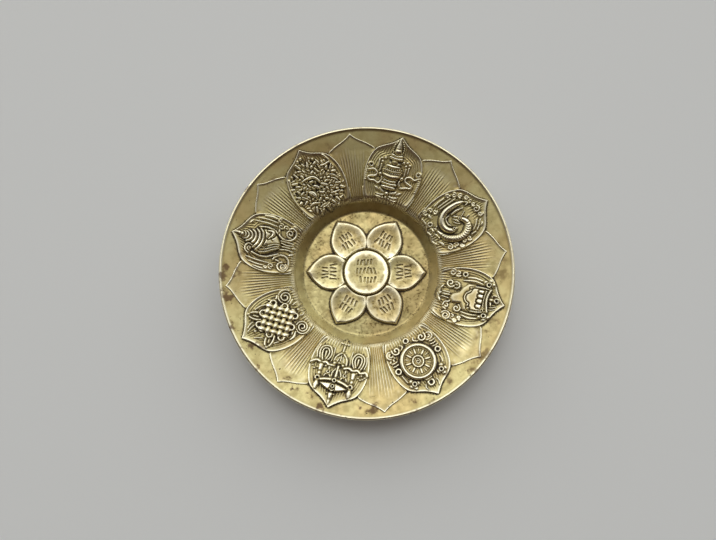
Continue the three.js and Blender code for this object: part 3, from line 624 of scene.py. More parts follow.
def banner(r):
    """The victory banner: a round hanging with a hemmed top, flaps and a three-lobed skirt, among curls of cloth."""
    for path in (
        [(-9.2, 56.5), (-9.7, 52), (-9.4, 48.5)], [(-7.6, 56.6), (-8.3, 52), (-7.6, 47)], [(7.4, 57), (8, 53), (7.6, 49)],
        [(9, 57), (9.7, 53), (9.1, 49.6)],
    ):
        r.ridge(path, (0.8, 1.5, 0.8), 0.75)
    for u, v, size, start in (
        (-10.4, 43.7, 1.6, 40), (-10.3, 41, 1.6, 250), (6.4, 46.6, 1.9, 290), (10.6, 45.4, 1.6, 20), (6.2, 41.5, 1.7, 80),
        (10.7, 48.8, 1.1, 60), (12.6, 47, 1.1, 200),
    ):
        r.ridge(spiral(u, v, size, 1.25, start), 0.95, 1.0)
    r.ridge(spiral(11, 42.5, 2.3, 1.7, 200), 0.9, 1.2)
    r.ridge(spiral(-4.2, 44.1, 2.2, 1.4, 170), 0.95, 1.3)
    r.ridge(spiral(-5, 41.2, 2.1, 1.2, 30), 1.1, 1.3)
    r.eye(-10.6, 47, 1.4)
    r.ridge([(2.4, 43), (4, 42.4), (4.6, 40.6), (6.4, 40)], 1.0, 1.1)
    bow(r, -8, 58.6, -1)
    bow(r, 7, 59.3, 1)
    # The plain skirt and the lobed edge of the drum
    r.plate([(-6.8, 53), (-6.6, 49.6), (-4.4, 47.4), (-1.8, 46), (-0.4, 43.4), (0.8, 42.4), (2.8, 42.6), (4.2, 44),
             (3.8, 47.6), (6.8, 49.4), (7, 53)], 0.95, 1.4)
    r.plate([(-5.7, 60), (-5.8, 53.6), (-5.2, 51.8), (-3.2, 50.8), (-2.2, 49.4), (0, 48.8), (2.2, 49.5), (3.2, 51),
             (5, 51.4), (6.1, 52.6), (6.4, 54.6), (5, 60.2)], 1.5, 1.1)
    r.ridge([(-5.8, 52.9), (-4.7, 51.4), (-3, 50.9), (-1.8, 49.5), (0.2, 49), (2.1, 49.8), (3, 51.2), (4.6, 51),
             (5.9, 52.2)], 0.8, 1.75)
    r.ball(5.2, 51.6, 0.8, 1.8)
    r.ball(-4.7, 51.1, 0.7, 1.8)
    r.ridge([(-5.8, 59.5), (-5.9, 56), (-5.7, 52.8)], 0.9, 1.7)
    r.ridge([(5, 59.5), (6, 56.4), (6.3, 53)], 0.9, 1.7)
    # The hem at the top, and the flaps under it
    r.ridge([(-5.7, 60), (-2.4, 59.1), (0.8, 59.2), (5, 60.3)], 1.15, 1.9)
    r.ridge([(-5, 58.2), (0, 57.8), (5.2, 58.6)], 0.55, 1.4)
    for u, width in ((-4, 1.8), (-1.75, 2.1), (0.7, 2.3), (3.2, 2.2)):
        r.plate([(u - width / 2, 57.3), (u - width / 2, 55.2), (u - width / 4, 54.5), (u + width / 4, 54.5),
                 (u + width / 2, 55.2), (u + width / 2, 57.3)], 1.8, 0.5)
    # The finial and its base
    r.ridge([(-3, 61.4), (-1, 60.9), (1.4, 61.4)], 1.0, 1.0)
    r.ridge([(-1.2, 60.9), (-1.2, 62.6)], 1.6, 1.0)
    r.eye(-1.2, 63.6, 1.35, 1.3)
    r.ridge([(1.5, 64), (2.2, 62.6), (2.5, 61.2)], 0.6, 0.7)
    r.ridge([(2.9, 63.5), (3.5, 62.4), (3.7, 61)], 0.6, 0.7)
    r.ridge([(-3.4, 63.2), (-3.6, 61.6)], 0.6, 0.6)
    # The rods and the foot
    r.ridge([(-0.4, 42), (-0.5, 38.6)], 0.8, 1.0)
    r.ridge([(0.7, 42), (0.8, 38.6)], 0.9, 1.1)
    r.ridge([(2.4, 41.8), (2.1, 38.6)], 0.7, 1.0)
    r.plate([(-3.8, 38.4), (-3, 36.9), (-1, 35.9), (1.5, 35.7), (3.8, 36.4), (5.2, 38.2), (3.4, 38), (0.8, 37.2), (-1.8, 37.6)],
            1.1, 0.8)
    r.leaf([(-3.5, 38.2), (-2.4, 37.6), (-1.2, 36.6)], 1.1, 1.4)
    r.leaf([(0.4, 38.2), (0.5, 37.2), (0.4, 36.3)], 1.5, 1.5)
    r.leaf([(4.8, 38.4), (3.7, 37.7), (2.4, 36.6)], 1.3, 1.5)


def bow(r, u, v, side):
    """Three pearls round a hollow."""
    for across, along in ((1.7, 0.3), (0.3, 1.8), (-1.5, 0.4), (0.9, -1.6)):
        r.ball(u + side * across, v + along, 1.15, 1.35)
    r.eye(u, v, 1.3, 1.5)


def wheel(r):
    """The wheel with eight spokes and a hub, with pearl rings round it and curled ribbons under it."""
    centre = (0.4, 50.2)
    for u, v, size, turns, start in (
        (-10, 42, 2.2, -1.5, 60), (-6.8, 41, 2.2, 1.2, 240), (10.4, 41.6, 2.3, 1.6, 330), (7, 41, 2.2, -1.2, 120),
        (11.6, 44.6, 1.4, 0.7, 250),
    ):
        r.ridge(spiral(u, v, size, turns, start), 1.05, 1.15)
    for u, v in ((-10.7, 47.6), (-10.2, 46.2), (-10.5, 44.8), (10.6, 47.2), (10.5, 45.7)):
        r.bar(u, v, 1.3, 0.8, 1.0, -0.2)
    r.ridge([(-4.6, 42), (-2.6, 40.6), (-3.6, 39.2)], (0.6, 1, 0.5), 0.8)
    r.ridge([(5.2, 42.2), (3.4, 40.8), (4.4, 39.4)], (0.6, 1, 0.5), 0.8)
    r.ridge([(2.8, 64), (3.4, 62.6), (2.8, 61.2)], 0.6, 0.7)
    r.ridge([(-2.6, 64), (-3.3, 62.4), (-2.9, 61)], 0.6, 0.7)
    r.ridge([(9.8, 56.5), (10.3, 54), (10.5, 52.6)], 0.7, 0.7)
    r.ridge([(-9.6, 56), (-10, 54), (-9.8, 52.6)], 0.7, 0.7)
    # Three pearls round each upper corner, and one ring on each side
    bow(r, -7.1, 58.5, -1)
    bow(r, 7.3, 58.5, 1)
    for u, v, size in ((0.1, 61.3, 1.8), (-10.6, 49.8, 1.6), (11, 50, 1.7), (0.6, 39.2, 1.6)):
        r.eye(u, v, size, 1.3)
    r.ridge([(-1.2, 59.2), (0.2, 59.4), (1.6, 59.2)], 1.1, 1.1)
    r.ridge([(-0.3, 41.4), (1.5, 41.4)], 1.1, 1.1)
    # Rim, spokes and hub
    r.plate(oval(*centre, 8.6), 0.5, 0.5)
    spoke = np.arange(8) * math.tau / 8 + 0.2
    for turn in spoke:
        outward = np.array([math.sin(turn), math.cos(turn)])
        r.ridge([centre + outward * 2.6, centre + outward * 4.6, centre + outward * 6.8], (0.9, 1.3, 0.9), 0.95)
    for turn in spoke + math.tau / 16:
        outward = np.array([math.sin(turn), math.cos(turn)])
        r.ridge([centre + outward * 4.4, centre + outward * 6.4], (0.6, 1.2), 0.7)
    r.ridge(oval(*centre, 7.75), 1.75, 1.7)
    r.groove(oval(*centre, 8.15), 0.35, 0.25)
    r.ridge(oval(*centre, 6.55), 0.35, 1.0)
    r.plate(oval(*centre, 3.1), 1.15, 0.5)
    r.ridge(oval(*centre, 2.55), 1.0, 1.5)
    r.ridge(spiral(centre[0] + 0.1, centre[1], 1.35, 1.2, 200), 0.6, 1.4)


def parasol(r):
    """The parasol: a canopy with a valance, tassels and a shaft, over looped ribbons."""
    for side in (-1, 1):
        for path in (
            [(7.8 * side, 48.6), (5.6 * side, 45.4), (5.2 * side, 42.8), (6.6 * side, 40.4), (8.4 * side, 40.2),
             (10.4 * side, 41.4), (10.9 * side, 44), (9.8 * side, 48)],
            [(7.6 * side, 47), (6.6 * side, 44.6), (6.5 * side, 42.9), (7.2 * side, 41.6), (8.4 * side, 41.4),
             (9.5 * side, 42.2), (9.6 * side, 44.6), (8.8 * side, 47.2)],
        ):
            r.ridge(path, 0.85, 1.15)
        r.ridge([(8 * side, 46), (8 * side, 42.8)], (0.5, 1.1), 0.8)
        r.ridge([(4.6 * side, 46.8), (4.2 * side, 43.4), (4.4 * side, 40)], 0.6, 0.7)
        r.ridge([(11.6 * side, 46.6), (12.1 * side, 43.6), (11.4 * side, 40.6)], 0.7, 0.8)
    # The ribbon behind the shaft
    r.ridge([(-13.9, 49.2), (-12.6, 47.9), (-10.4, 48.8), (-8.6, 47.9), (-6.6, 48.7), (-4.6, 47.9), (-2.4, 48.6)], 1.4, 1.2)
    r.ridge([(2.8, 48.2), (5, 48.8), (6.8, 47.8), (8.8, 48.6), (10.8, 47.8), (12.4, 48.4), (13.8, 49.4)], 1.4, 1.2)
    r.beads([(-12.8, 50.4), (-11.4, 51.8), (-9.9, 51.3)], 0.6, 0.9)
    r.beads([(12.4, 50.6), (11.4, 51.8), (10.2, 51)], 0.6, 0.9)
    for u, v in ((-11.2, 49.8), (-6.6, 49.9), (-4, 49.7), (4.2, 49.8), (6.4, 49.6), (-8.6, 49.4), (8.8, 50.1)):
        r.ball(u, v, 0.65, 0.9)
    # The heart-shaped plate on the shaft
    r.plate([(-3.4, 47.2), (-3.1, 44.6), (-1.6, 42.4), (0.3, 41), (2.2, 42.4), (3.6, 44.8), (3.8, 47.2), (2, 47.8), (0.3, 47),
             (-1.6, 47.9)], 0.9, 0.9)
    r.ridge([(-2.9, 47), (-2.6, 44.6), (-1.2, 42.8), (0.3, 41.6)], 0.9, 1.3)
    r.ridge([(3.3, 47), (3, 44.6), (1.7, 42.8), (0.3, 41.6)], 0.9, 1.3)
    r.ridge([(-1.5, 47.4), (-1, 45.4), (-0.4, 43.6)], 0.6, 1.2)
    r.ridge([(2, 47.2), (1.6, 45.4), (1, 43.6)], 0.6, 1.2)
    r.ball(-1.4, 47.5, 0.8, 1.4)
    r.ball(2.8, 47.2, 0.9, 1.4)
    r.ball(0.6, 46.6, 0.8, 1.5)
    r.ridge([(0.4, 45.8), (0.4, 43)], 0.7, 1.3)
    # The shaft and its foot
    r.ridge([(0.5, 54), (0.5, 48.4)], 1.2, 1.2)
    r.ridge([(-0.5, 49.8), (-1.6, 51.8), (-2, 54)], 0.7, 0.9)
    r.ridge([(1.6, 49.8), (2.6, 51.8), (2.6, 53.8)], 0.7, 0.9)
    r.ridge([(0.2, 41), (0.1, 37.6)], 0.9, 1.1)
    r.ridge([(-2.2, 36.7), (-1.4, 37.3), (-0.8, 36.4)], 0.9, 1.1)
    r.ridge([(2.2, 36.7), (1.4, 37.3), (0.8, 36.4)], 0.9, 1.1)
    r.ridge([(0, 37.4), (0, 35.4)], 1.1, 1.2)
    # Tassels at the sides, and the drops between them
    for u, top in ((-7.5, 59.3), (8.6, 58.8)):
        r.ridge([(u, top - 5.4), (u + 0.1, top - 9)], (1.1, 2.2), 1.2)
        r.ridge([(u, top - 4), (u, top - 5.6)], (1.2, 1.5), 1.1)
        r.eye(u + 0.1, top - 3.1, 1.35, 1.4)
        r.ridge([(u, top - 1.2), (u, top), (u, top + 1.6)], (1.6, 2.5, 1.2), 1.5)
    for u in (-3.5, 4.6):
        for shift in (-1.5, 1.5):
            r.ridge([(u + shift, 54.2), (u + shift / 2, 52.9), (u, 53)], 0.7, 0.9)
        r.eye(u, 51.8, 0.95, 1.2)
        r.ridge([(u, 50.9), (u, 49.6)], (0.6, 1), 0.9)
    # The canopy and its two jewels
    r.ridge([(-6.2, 56.2), (-3.4, 55.3), (0.6, 54.8), (4.4, 55.2), (7.2, 56)], 1.25, 1.3)
    r.plate([(-6.4, 57.6), (-4.6, 58.9), (-2, 59.8), (0.6, 60.1), (3.2, 59.7), (5.6, 58.7), (7.4, 57.3), (5.4, 56.8), (2.6, 56.4),
             (0.6, 56.2), (-2.2, 56.5), (-4.6, 57)], 1.7, 0.9)
    r.eye(0.7, 57.7, 1.0, 2.1)
    r.eye(0.7, 55, 1.1, 1.7)
    r.ridge([(-0.4, 59), (0.7, 59.9), (1.8, 59)], 0.5, 1.9)
    r.bar(0.7, 61.1, 1.6, 0.9, 1.2)
    r.ridge([(0.7, 61.6), (0.7, 64)], (2.2, 0.8), (1.3, 1))
    r.ridge([(0.7, 64.4), (0.6, 66)], (1.3, 0.5), 1.1)


def knot(r):
    """The endless knot: flat bands woven over and under each other, with a long loop at each upper corner."""
    centre_u, centre_v, pitch = -0.2, 49.4, 2.85
    for path in (
        [(-2.6, 62.4), (-3.4, 60.8), (-4.4, 59.4)], [(1.4, 63.6), (2.4, 61.8), (2.9, 59.8)], [(2.9, 63), (4, 61.4), (4.5, 59.8)],
        [(-3, 39.4), (-3.4, 37.6), (-2.6, 36.2)], [(3, 39.6), (3.4, 37.6), (3.2, 36)], [(-1.3, 37.2), (-1.5, 35.8)],
        [(1.5, 37.2), (1.7, 35.8)],
    ):
        r.ridge(path, 0.7, 0.8)
    r.ridge(spiral(-8.7, 40.6, 3.6, 2.3, 210), 0.85, 1.15)
    r.ridge([(-11.4, 48.6), (-11, 46.4), (-9.2, 44.4)], (0.8, 1.5, 0.9), 1.0)
    r.ridge([(-9.6, 46.6), (-8.2, 45.2), (-7.2, 43.2)], (0.7, 1.2, 0.7), 0.9)
    r.ridge(spiral(8, 41, 3.7, -2.2, 150), 0.85, 1.15)
    r.ridge([(4.2, 43.8), (4, 41), (5.4, 38.4)], 0.9, 1.0)
    r.ridge([(10.6, 48.4), (9.2, 46.6), (9.2, 45.2), (10.6, 44)], (1.1, 1.3, 1.2, 0.7), 1.1)
    r.ridge([(-9.2, 56), (-9.6, 53), (-8.4, 51)], 0.8, 0.9)
    r.ridge([(9.3, 56), (9.6, 53), (9, 50.6)], 0.8, 0.9)
    # Long loops at the upper corners
    for side in (-1, 1):
        r.ridge([(centre_u + side * a, centre_v + b) for a, b in (
            (3.4, 5.8), (5, 8.4), (7.2, 10.2), (8.9, 10), (8.8, 8), (7.4, 5.8), (5.2, 4))], 1.05, 1.25)
        r.ball(centre_u + side * 8.9, centre_v + 10.2, 0.75, 1.4)
        r.ridge([(centre_u + side * 5.8, centre_v + 7), (centre_u + side * 7.4, centre_v + 8.6)], 0.9, 0.7)
    # Turns where neighbouring bands join along the four sides
    for k in (-1.5, 0.5):
        for across, along in ((k, 2.6), (-k, -2.6), (2.6, -k), (-2.6, k)):
            u = centre_u + (across + along) * math.sqrt(0.5) * pitch
            v = centre_v + (along - across) * math.sqrt(0.5) * pitch
            r.ridge(oval(u, v, 1.35), 1.05, 1.25)
    # The woven bands
    across = (r.u - centre_u - r.v + centre_v) * math.sqrt(0.5) / pitch
    along = (r.u - centre_u + r.v - centre_v) * math.sqrt(0.5) / pitch
    inside = np.minimum(2.55 - np.abs(across), 2.55 - np.abs(along))
    woven = np.full(r.u.shape, 0.05)
    for one, other, over in ((across, along, 1), (along, across, -1)):
        band = np.round(one)
        offset = (one - band) / 0.37
        level = 1.25 + 0.4 * over * np.cos(math.pi * (other + band))
        woven = np.maximum(woven, level * np.sqrt(np.clip(1 - offset ** 4, 0, 1)))
    near = inside > 0
    r.height[near] = woven[near]
    for u, v in ((0, 60.7), (-0.2, 38.3)):
        r.ball(u, v, 0.8, 1.3)


def conch(r):
    """The conch: a coiled shell with its point up, wrapped in ribbons that end in curls."""
    for path in (
        [(-9.2, 58), (-9.6, 53), (-9.4, 47)], [(-11, 56.4), (-11.4, 52), (-11.2, 47.6)], [(-12.6, 53.6), (-12.8, 50), (-12.2, 46.8)],
        [(8.8, 58.4), (9.2, 53), (9, 48)], [(10.5, 57.4), (11, 52.6), (10.8, 47.6)], [(12.4, 54.6), (12.7, 51), (12.4, 48)],
        [(7, 60.4), (8.6, 59.4)],
    ):
        r.ridge(path, (0.7, 1.15, 0.7), 0.7)
    for u, v, size, turns, start in (
        (-10.5, 45.6, 1.5, 1.2, 250), (9.5, 46.1, 1.6, 1.3, 60), (-12, 47.8, 0.9, 1, 0), (12, 47.6, 1, 1, 90),
        (9.6, 43.4, 1.3, 1, 320), (10.4, 40, 1.6, -1.2, 320),
    ):
        r.ridge(spiral(u, v, size, turns, start), 0.75, 0.95)
    r.ridge([(-7.2, 45.6), (-5.2, 44.6), (-4.1, 42.6), (-4.2, 40), (-6, 38.2), (-8.6, 37.8), (-11, 39), (-11.3, 41.2), (-10, 42.6),
             (-8.2, 42.4), (-7.2, 41)], 1.1, 1.2)
    r.ridge(spiral(-9.2, 40, 1.7, 1.5, 120), 0.8, 1.2)
    r.ridge([(-7, 44.2), (-7.2, 42.8)], 1.0, 0.9)
    r.ridge([(7.6, 46.4), (5.4, 46), (4, 44), (3.7, 41.6), (4.8, 39.2), (7, 38), (9.2, 38.6), (10.2, 40.4), (9.4, 42)], 1.1, 1.2)
    r.ridge(spiral(7.4, 41, 2, 1.3, 250), 0.8, 1.0)
    # Ribbons that run down from the shell
    for path in (
        [(-2.4, 50.6), (-1.2, 47.6), (0, 44.6), (0.4, 41), (0.6, 37.6)], [(-4.4, 51.2), (-3, 47.4), (-1.5, 43.8), (-0.8, 40.4), (-0.9, 37.6)],
        [(1.8, 44), (1.4, 41), (2, 38)], [(2.7, 44.4), (2.9, 41), (2.9, 38)],
    ):
        r.ridge(path, 0.85, 1.05)
    r.leaf([(-3.2, 39.2), (-2.4, 37.8), (-1.6, 36.4)], 1.2, 0.9)
    r.leaf([(0.6, 38.6), (1, 37), (0.8, 35.6)], 1.2, 0.9)
    # The shell
    r.plate([(-6.2, 54.6), (-6.5, 51.8), (-5.4, 49.4), (-3.6, 46.8), (-1.8, 44.4), (0.4, 43.4), (2.2, 44.6), (4.4, 46.4),
             (6, 48.8), (6.5, 51.6), (5.8, 54.8), (3, 57), (-3, 57)], 1.7, 2.6)
    for shift in (0, 1.3, 2.6):
        r.ridge([(-5.6 + shift, 53), (-4.7 + shift, 50.2), (-2.8 + shift, 47.2), (-1 + shift * 0.6, 44.4)], 0.75,
                1.9 + 0.1 * shift)
    for k, (half, v) in enumerate(((5.6, 53.6), (4.7, 55.2), (3.7, 57), (2.7, 58.8), (1.9, 60.4), (1.3, 62))):
        centre = 0.2 + 0.08 * k
        r.ridge([(centre - half, v + 1.2), (centre - half * 0.5, v - 0.4), (centre + half * 0.1, v - 0.9),
                 (centre + half * 0.7, v - 0.1), (centre + half, v + 1.3)], (0.7, 1.6, 1.9, 1.8, 0.8), 2 - 0.12 * k)
        r.groove([(centre - half * 0.6, v - 0.2), (centre, v - 0.9), (centre + half * 0.6, v - 0.2)], 0.35, 0.25)
    r.ridge([(0.6, 62.6), (0.7, 64.4), (0.5, 66.2)], (2.2, 1.5, 0.5), (1.3, 1.1, 0.7))
    for v in (63.2, 64.4):
        r.groove([(-0.4, v + 0.4), (0.7, v - 0.2), (1.8, v + 0.4)], 0.4, 0.35)
    r.ridge([(-6.6, 56), (-7.3, 52.4), (-6.8, 48.8), (-5.4, 46.4), (-4, 44)], 1.0, 1.3)
    r.ridge([(6.4, 55.6), (7.2, 52), (6.8, 48.6), (5.6, 46.8)], 1.0, 1.3)
    r.ridge([(1.6, 50.4), (4, 48.6), (5.6, 49), (5.6, 51.4)], (0.6, 1.8, 2, 0.8), 2)
    r.groove([(1, 47.8), (2.2, 49), (3.4, 48)], 0.6, 0.6)
    r.groove([(-4.6, 50.4), (-1.4, 51.4), (1.8, 51)], 0.45, 0.35)
    r.beads([(-3.6, 51.8), (-2.6, 50.8), (-1.4, 50.2)], 0.35, 1.8)
    r.ridge([(-7.6, 57.4), (-6.4, 59.3), (-4.4, 59.6), (-2.9, 58.4), (-3.4, 56.8)], 0.9, 1.2)
    r.ridge(spiral(-5, 57.6, 1.2, 1, 260), 0.7, 1.0)


def lotus(r):
    """The lotus: an open flower with rings of pointed petals round a raised heart, on leaves."""
    for path in (
        [(9.2, 60.2), (10.6, 57), (11.2, 53)], [(10.6, 51.8), (11.3, 48.6), (11, 45)], [(-11.4, 57), (-12.2, 53.6), (-12.4, 50)],
    ):
        r.ridge(path, 0.9, 0.6)
    for leaf in (
        [(-5.4, 40.6), (-9, 41.6), (-12, 44.6)], [(6, 41.4), (9.4, 42.4), (12.2, 45)], [(-4, 39.6), (-8, 39.2), (-10.2, 40.2)],
        [(4, 39.4), (7.4, 38.8), (9.4, 40.4)], [(2, 38.4), (4, 37.2), (5.4, 35.9)], [(0.6, 38.2), (2.4, 37.2), (3.6, 36.6)],
    ):
        r.leaf(leaf, 1.8, 1.0)
    heart = np.array((-0.4, 48.6))
    for count, near, far, width, rise, turn, stretch in (
        (17, 6.5, 12.6, 2.3, 1.0, 0.1, 1.06), (15, 4.6, 10.4, 2.3, 1.25, 0.3, 1.05), (11, 2.6, 7.6, 2.4, 1.5, 0.1, 1.0),
    ):
        for k in range(count):
            angle = turn + math.tau * k / count
            side = np.array([math.sin(angle), math.cos(angle) * stretch])
            swirl = np.array([side[1], -side[0]]) * 0.9
            far_end = heart + side * (far - 0.5 * (k % 2))
            r.leaf([heart + side * near, heart + side * (near + far) / 2 + swirl, far_end], width, rise)
    pick = np.random.default_rng(SEED)
    for k in range(84):
        angle, reach = math.tau * 0.382 * k, 12.2 * math.sqrt((k + 2) / 86)
        at = heart + reach * np.array([math.sin(angle), math.cos(angle) * 1.06]) + pick.uniform(-0.5, 0.5, 2)
        lean = angle + pick.uniform(-0.9, 0.9)
        half = np.array([math.sin(lean), math.cos(lean)]) * pick.uniform(0.4, 1.3)
        r.ridge([at - half, at + half], (pick.uniform(1.1, 1.7), pick.uniform(0.8, 1.4)), pick.uniform(0.9, 1.7))
    for u, v in ((-3.4, 62.6), (-1.5, 63.2), (-6.7, 58.9), (2.2, 61.8), (3.7, 60.8), (3.7, 52.6), (8.4, 57.6), (-9.6, 57.6)):
        r.ball(u, v, 0.75, 1.3)
    r.ridge([(-6.4, 53.4), (-3.4, 53.6), (-0.6, 53.2), (1, 51.4), (2, 48.4)], (0.8, 1.3, 1.5, 1.5, 0.8), 1.9)
    r.leaf([(-5.6, 47.6), (-4.2, 46), (-3.4, 43.6)], 2.8, 1.8)
    r.leaf([(-2.4, 49.4), (-1, 48.4), (0.2, 46.6)], 1.8, 1.7)
    r.leaf([(1.6, 49), (3, 47.6), (4.8, 46.4)], 1.7, 1.6)
    r.leaf([(-1, 45.6), (0.4, 44.6), (1.6, 44.8)], 1.5, 1.6)
    r.ridge([(5.6, 56.3), (7.8, 55.8), (10.4, 56)], (0.9, 1.2, 0.9), 1.4)
    r.ridge([(7.8, 50.6), (9.4, 49.4), (10.6, 47.2)], (0.6, 1, 0.6), 1.3)
    r.ridge([(7.4, 48.8), (8.9, 47.8), (9.8, 46)], (0.6, 1, 0.6), 1.3)
    r.ridge([(-9.6, 47), (-8.4, 45.6), (-7.6, 44.8)], (0.7, 1.1, 0.7), 1.4)
    r.ridge([(-8.2, 41.6), (-6, 41.9), (-3.4, 40.8)], (0.8, 1.5, 0.8), 1.5)
    r.ridge([(4, 42.5), (6, 42), (8.4, 41.8)], (0.8, 1.2, 0.7), 1.4)
    r.ridge([(-4, 38.9), (-1.8, 39.4), (0.4, 39.2), (2.6, 40.2)], 0.9, 1.2)
    r.ridge([(-3, 38.2), (-1, 38.3), (1, 38.8)], 0.8, 1.1)


def eased(height):
    """Heights with the steps between neighbouring points softened."""
    padded = np.pad(height, 1, mode="edge")
    rows = 0.25 * padded[:-2] + 0.5 * padded[1:-1] + 0.25 * padded[2:]
    return 0.25 * rows[:, :-2] + 0.5 * rows[:, 1:-1] + 0.25 * rows[:, 2:]


SYMBOLS = (vase, fish, banner, wheel, parasol, knot, conch, lotus)


def build_upper_petals():
    u, v = petal_grid(upper_half_width, PETAL_BASE, PETAL_TIP, 184, 160)
    gap = gap_to_sides(u, v, upper_half_width, PETAL_BASE, PETAL_TIP)
    ground = rounded_border(gap, PETAL_EDGE, FIELD, BORDER + 1.2 * smoothstep(v, 58, 64))
    reach = np.hypot(u, v)
    ground = (ground + 0.15) * smoothstep(reach, PETAL_BASE, 38) - 0.15
    # Flutes along the sides, and short ribs that spread from the cove
    flutes = 0.2 * np.cos(math.tau * gap / 1.05) * smoothstep(gap, 1.3, 2.0) * (1 - smoothstep(gap, 5, 6.5))
    rays = 0.15 * np.cos(math.tau * u / (0.9 + 0.05 * (66 - v))) * smoothstep(gap, 1.6, 2.6)
    at_tip = smoothstep(v, 57, 60)
    flutes = flutes * (1 - at_tip) + rays * at_tip
    ribs = 0.2 * np.cos(math.tau * np.degrees(np.arctan2(u, v)) / 1.9)
    base = smoothstep(reach, 35.6, 36.4) * (1 - smoothstep(reach, 38.5, 41)) * smoothstep(gap, 1.2, 2)
    flutes = flutes * (1 - base) + ribs * base
    pieces = []
    for k, draw in enumerate(SYMBOLS):
        relief = Relief(u, v, flutes.copy())
        draw(relief)
        above = ground + eased(relief.height)
        bearing = FIRST_BEARING + k * 360 / PETAL_COUNT
        pieces.append(slab(f"upper_petal_{k + 1}_{draw.__name__}", on_dish(u, v, above, bearing)))
    return pieces


def build_lower_petals():
    u, v = petal_grid(lower_half_width, PETAL_BASE, 68, 112, 92)
    gap = gap_to_sides(u, v, lower_half_width, 58, 68)
    ground = rounded_border(gap, 0.7, 0.42, 1.1)
    reach = np.hypot(u, v)
    ground = (ground + 0.15) * smoothstep(reach, PETAL_BASE, 36.2) - 0.15
    piece = slab("lower_petals", on_dish(u, v, ground))
    pitch = 0.85 + 0.026 * (v - 36)
    fields = {"rib": u / pitch, "reach": reach + 0.04 * u * u, "ribbed": smoothstep(gap, 0.9, 1.8)}
    for name, values in fields.items():
        field = np.zeros(len(piece.data.vertices))
        field[:values.size] = values.ravel()
        piece.data.attributes.new(name, "FLOAT", "POINT").data.foreach_set("value", field.astype(np.float32))
    sizes = {
        "Count": PETAL_COUNT, "First bearing": math.radians(FIRST_BEARING + 180 / PETAL_COUNT),
        "Rib rise": RIB_RISE * MM, "Rib start": 35.9, "Rib end": 62.5, "Uneven ends": 4.0,
    }
    return grown(piece, petal_ring_tree("ribbed_lower_petals", sizes, brass), sizes)


body = build_body()
lower_petals = build_lower_petals()
upper_petals = build_upper_petals()


# Flower

def flower_half_width(v):
    side = (
        (9.6, 4.8), (11, 6.7), (12.5, 8.0), (14.6, 8.8), (17.5, 9.15), (20, 8.9), (22.5, 7.9), (25, 6.0), (27, 4.0),
        (29, 1.4), (30, 0.1),
    )
    return through(side, v)


def stroke_rows(relief, rows, seed):
    """Rows of short engraved strokes that are not letters. Each row has a centre, a half width and a height."""
    pick = np.random.default_rng(seed)
    for u, v, half, height in rows:
        place = u - half
        while place < u + half:
            lean = pick.uniform(-0.35, 0.35)
            low, high = v - height * pick.uniform(0.3, 0.5), v + height * pick.uniform(0.3, 0.5)
            relief.groove([(place - lean, low), (place + lean, high)], 1.0, 0.45)
            place += pick.uniform(1.5, 2.0)


def build_flower_petals():
    u, v = petal_grid(flower_half_width, 9.6, 30, 84, 76)
    gap = gap_to_sides(u, v, flower_half_width, 9.6, 30)
    dome = rounded(gap, 0.9) - 0.25 * smoothstep(gap, 0.8, 5)
    beside_boss = smoothstep(np.hypot(u, v), BOSS_RADIUS + 0.1, BOSS_RADIUS + 0.9)
    keel = 0.35 * smoothstep(v, 19, 27) * np.exp(-(u / 2) ** 2)
    pieces = []
    for k in range(FLOWER_COUNT):
        relief = Relief(u, v)
        stroke_rows(relief, ((0, 20.8, 2.9, 2.9), (0, 16.6, 3.6, 3.1)), SEED + k)
        above = (FLOWER_RISE * dome + keel * smoothstep(gap, 0, 1.5) + relief.height) * beside_boss - 0.1
        bearing = FLOWER_BEARING + k * 360 / FLOWER_COUNT
        pieces.append(slab(f"flower_petal_{k + 1}", on_dish(u, v, above, bearing)))
    return pieces


def build_boss():
    """The round centre of the flower: a round plate, slightly hollow, with three rows of strokes."""
    reach = np.concatenate([np.linspace(0.12, 10, 62), BOSS_RADIUS - 0.8 * np.cos(np.linspace(0.3, math.pi / 2, 8))])
    turn = np.arange(180) * math.tau / 180
    u, v = reach[:, None] * np.sin(turn), reach[:, None] * np.cos(turn)
    top = BOSS_RISE * rounded(BOSS_RADIUS - reach, 0.7) - 0.45 * smoothstep(BOSS_RADIUS - reach, 0.6, BOSS_RADIUS)
    relief = Relief(u, v)
    stroke_rows(relief, ((-0.8, 4.9, 3.4, 2.8), (0.2, 0.7, 4.8, 2.9), (0.8, -3.8, 3.6, 2.8)), SEED + 20)
    points = on_dish(u, v, top[:, None] + relief.height)
    foot = on_dish(BOSS_RADIUS * np.sin(turn), BOSS_RADIUS * np.cos(turn), -SINK)
    count = len(turn)
    at = np.arange((len(reach) + 1) * count).reshape(-1, count)
    across = np.roll(at, -1, axis=1)
    quads = np.stack([at[:-1], across[:-1], across[1:], at[1:]], -1).reshape(-1, 4).tolist()
    faces = quads + [at[0][::-1].tolist(), at[-1].tolist()]
    return mesh_object("flower_boss", np.concatenate([points.reshape(-1, 3), foot]), faces)


flower_petals = build_flower_petals()
boss = build_boss()
pieces = [body, lower_petals, *upper_petals, *flower_petals, boss]


# Patina and wear, with painted shade and highlights

MAP_CELL = 0.3
MAP_HALF = 72.0


def blurred(heights, size):
    """A height map blurred by a round Gaussian of this size in mm."""
    rate = np.fft.fftfreq(len(heights), MAP_CELL)
    pass_rate = np.exp(-2 * (math.pi * size * rate) ** 2)
    return np.fft.ifft2(np.fft.fft2(heights) * pass_rate[:, None] * pass_rate[None, :]).real


def points_of(piece):
    points = np.empty(3 * len(piece.data.vertices), np.float32)
    piece.data.vertices.foreach_get("co", points)
    return points.reshape(-1, 3).astype(float) / MM


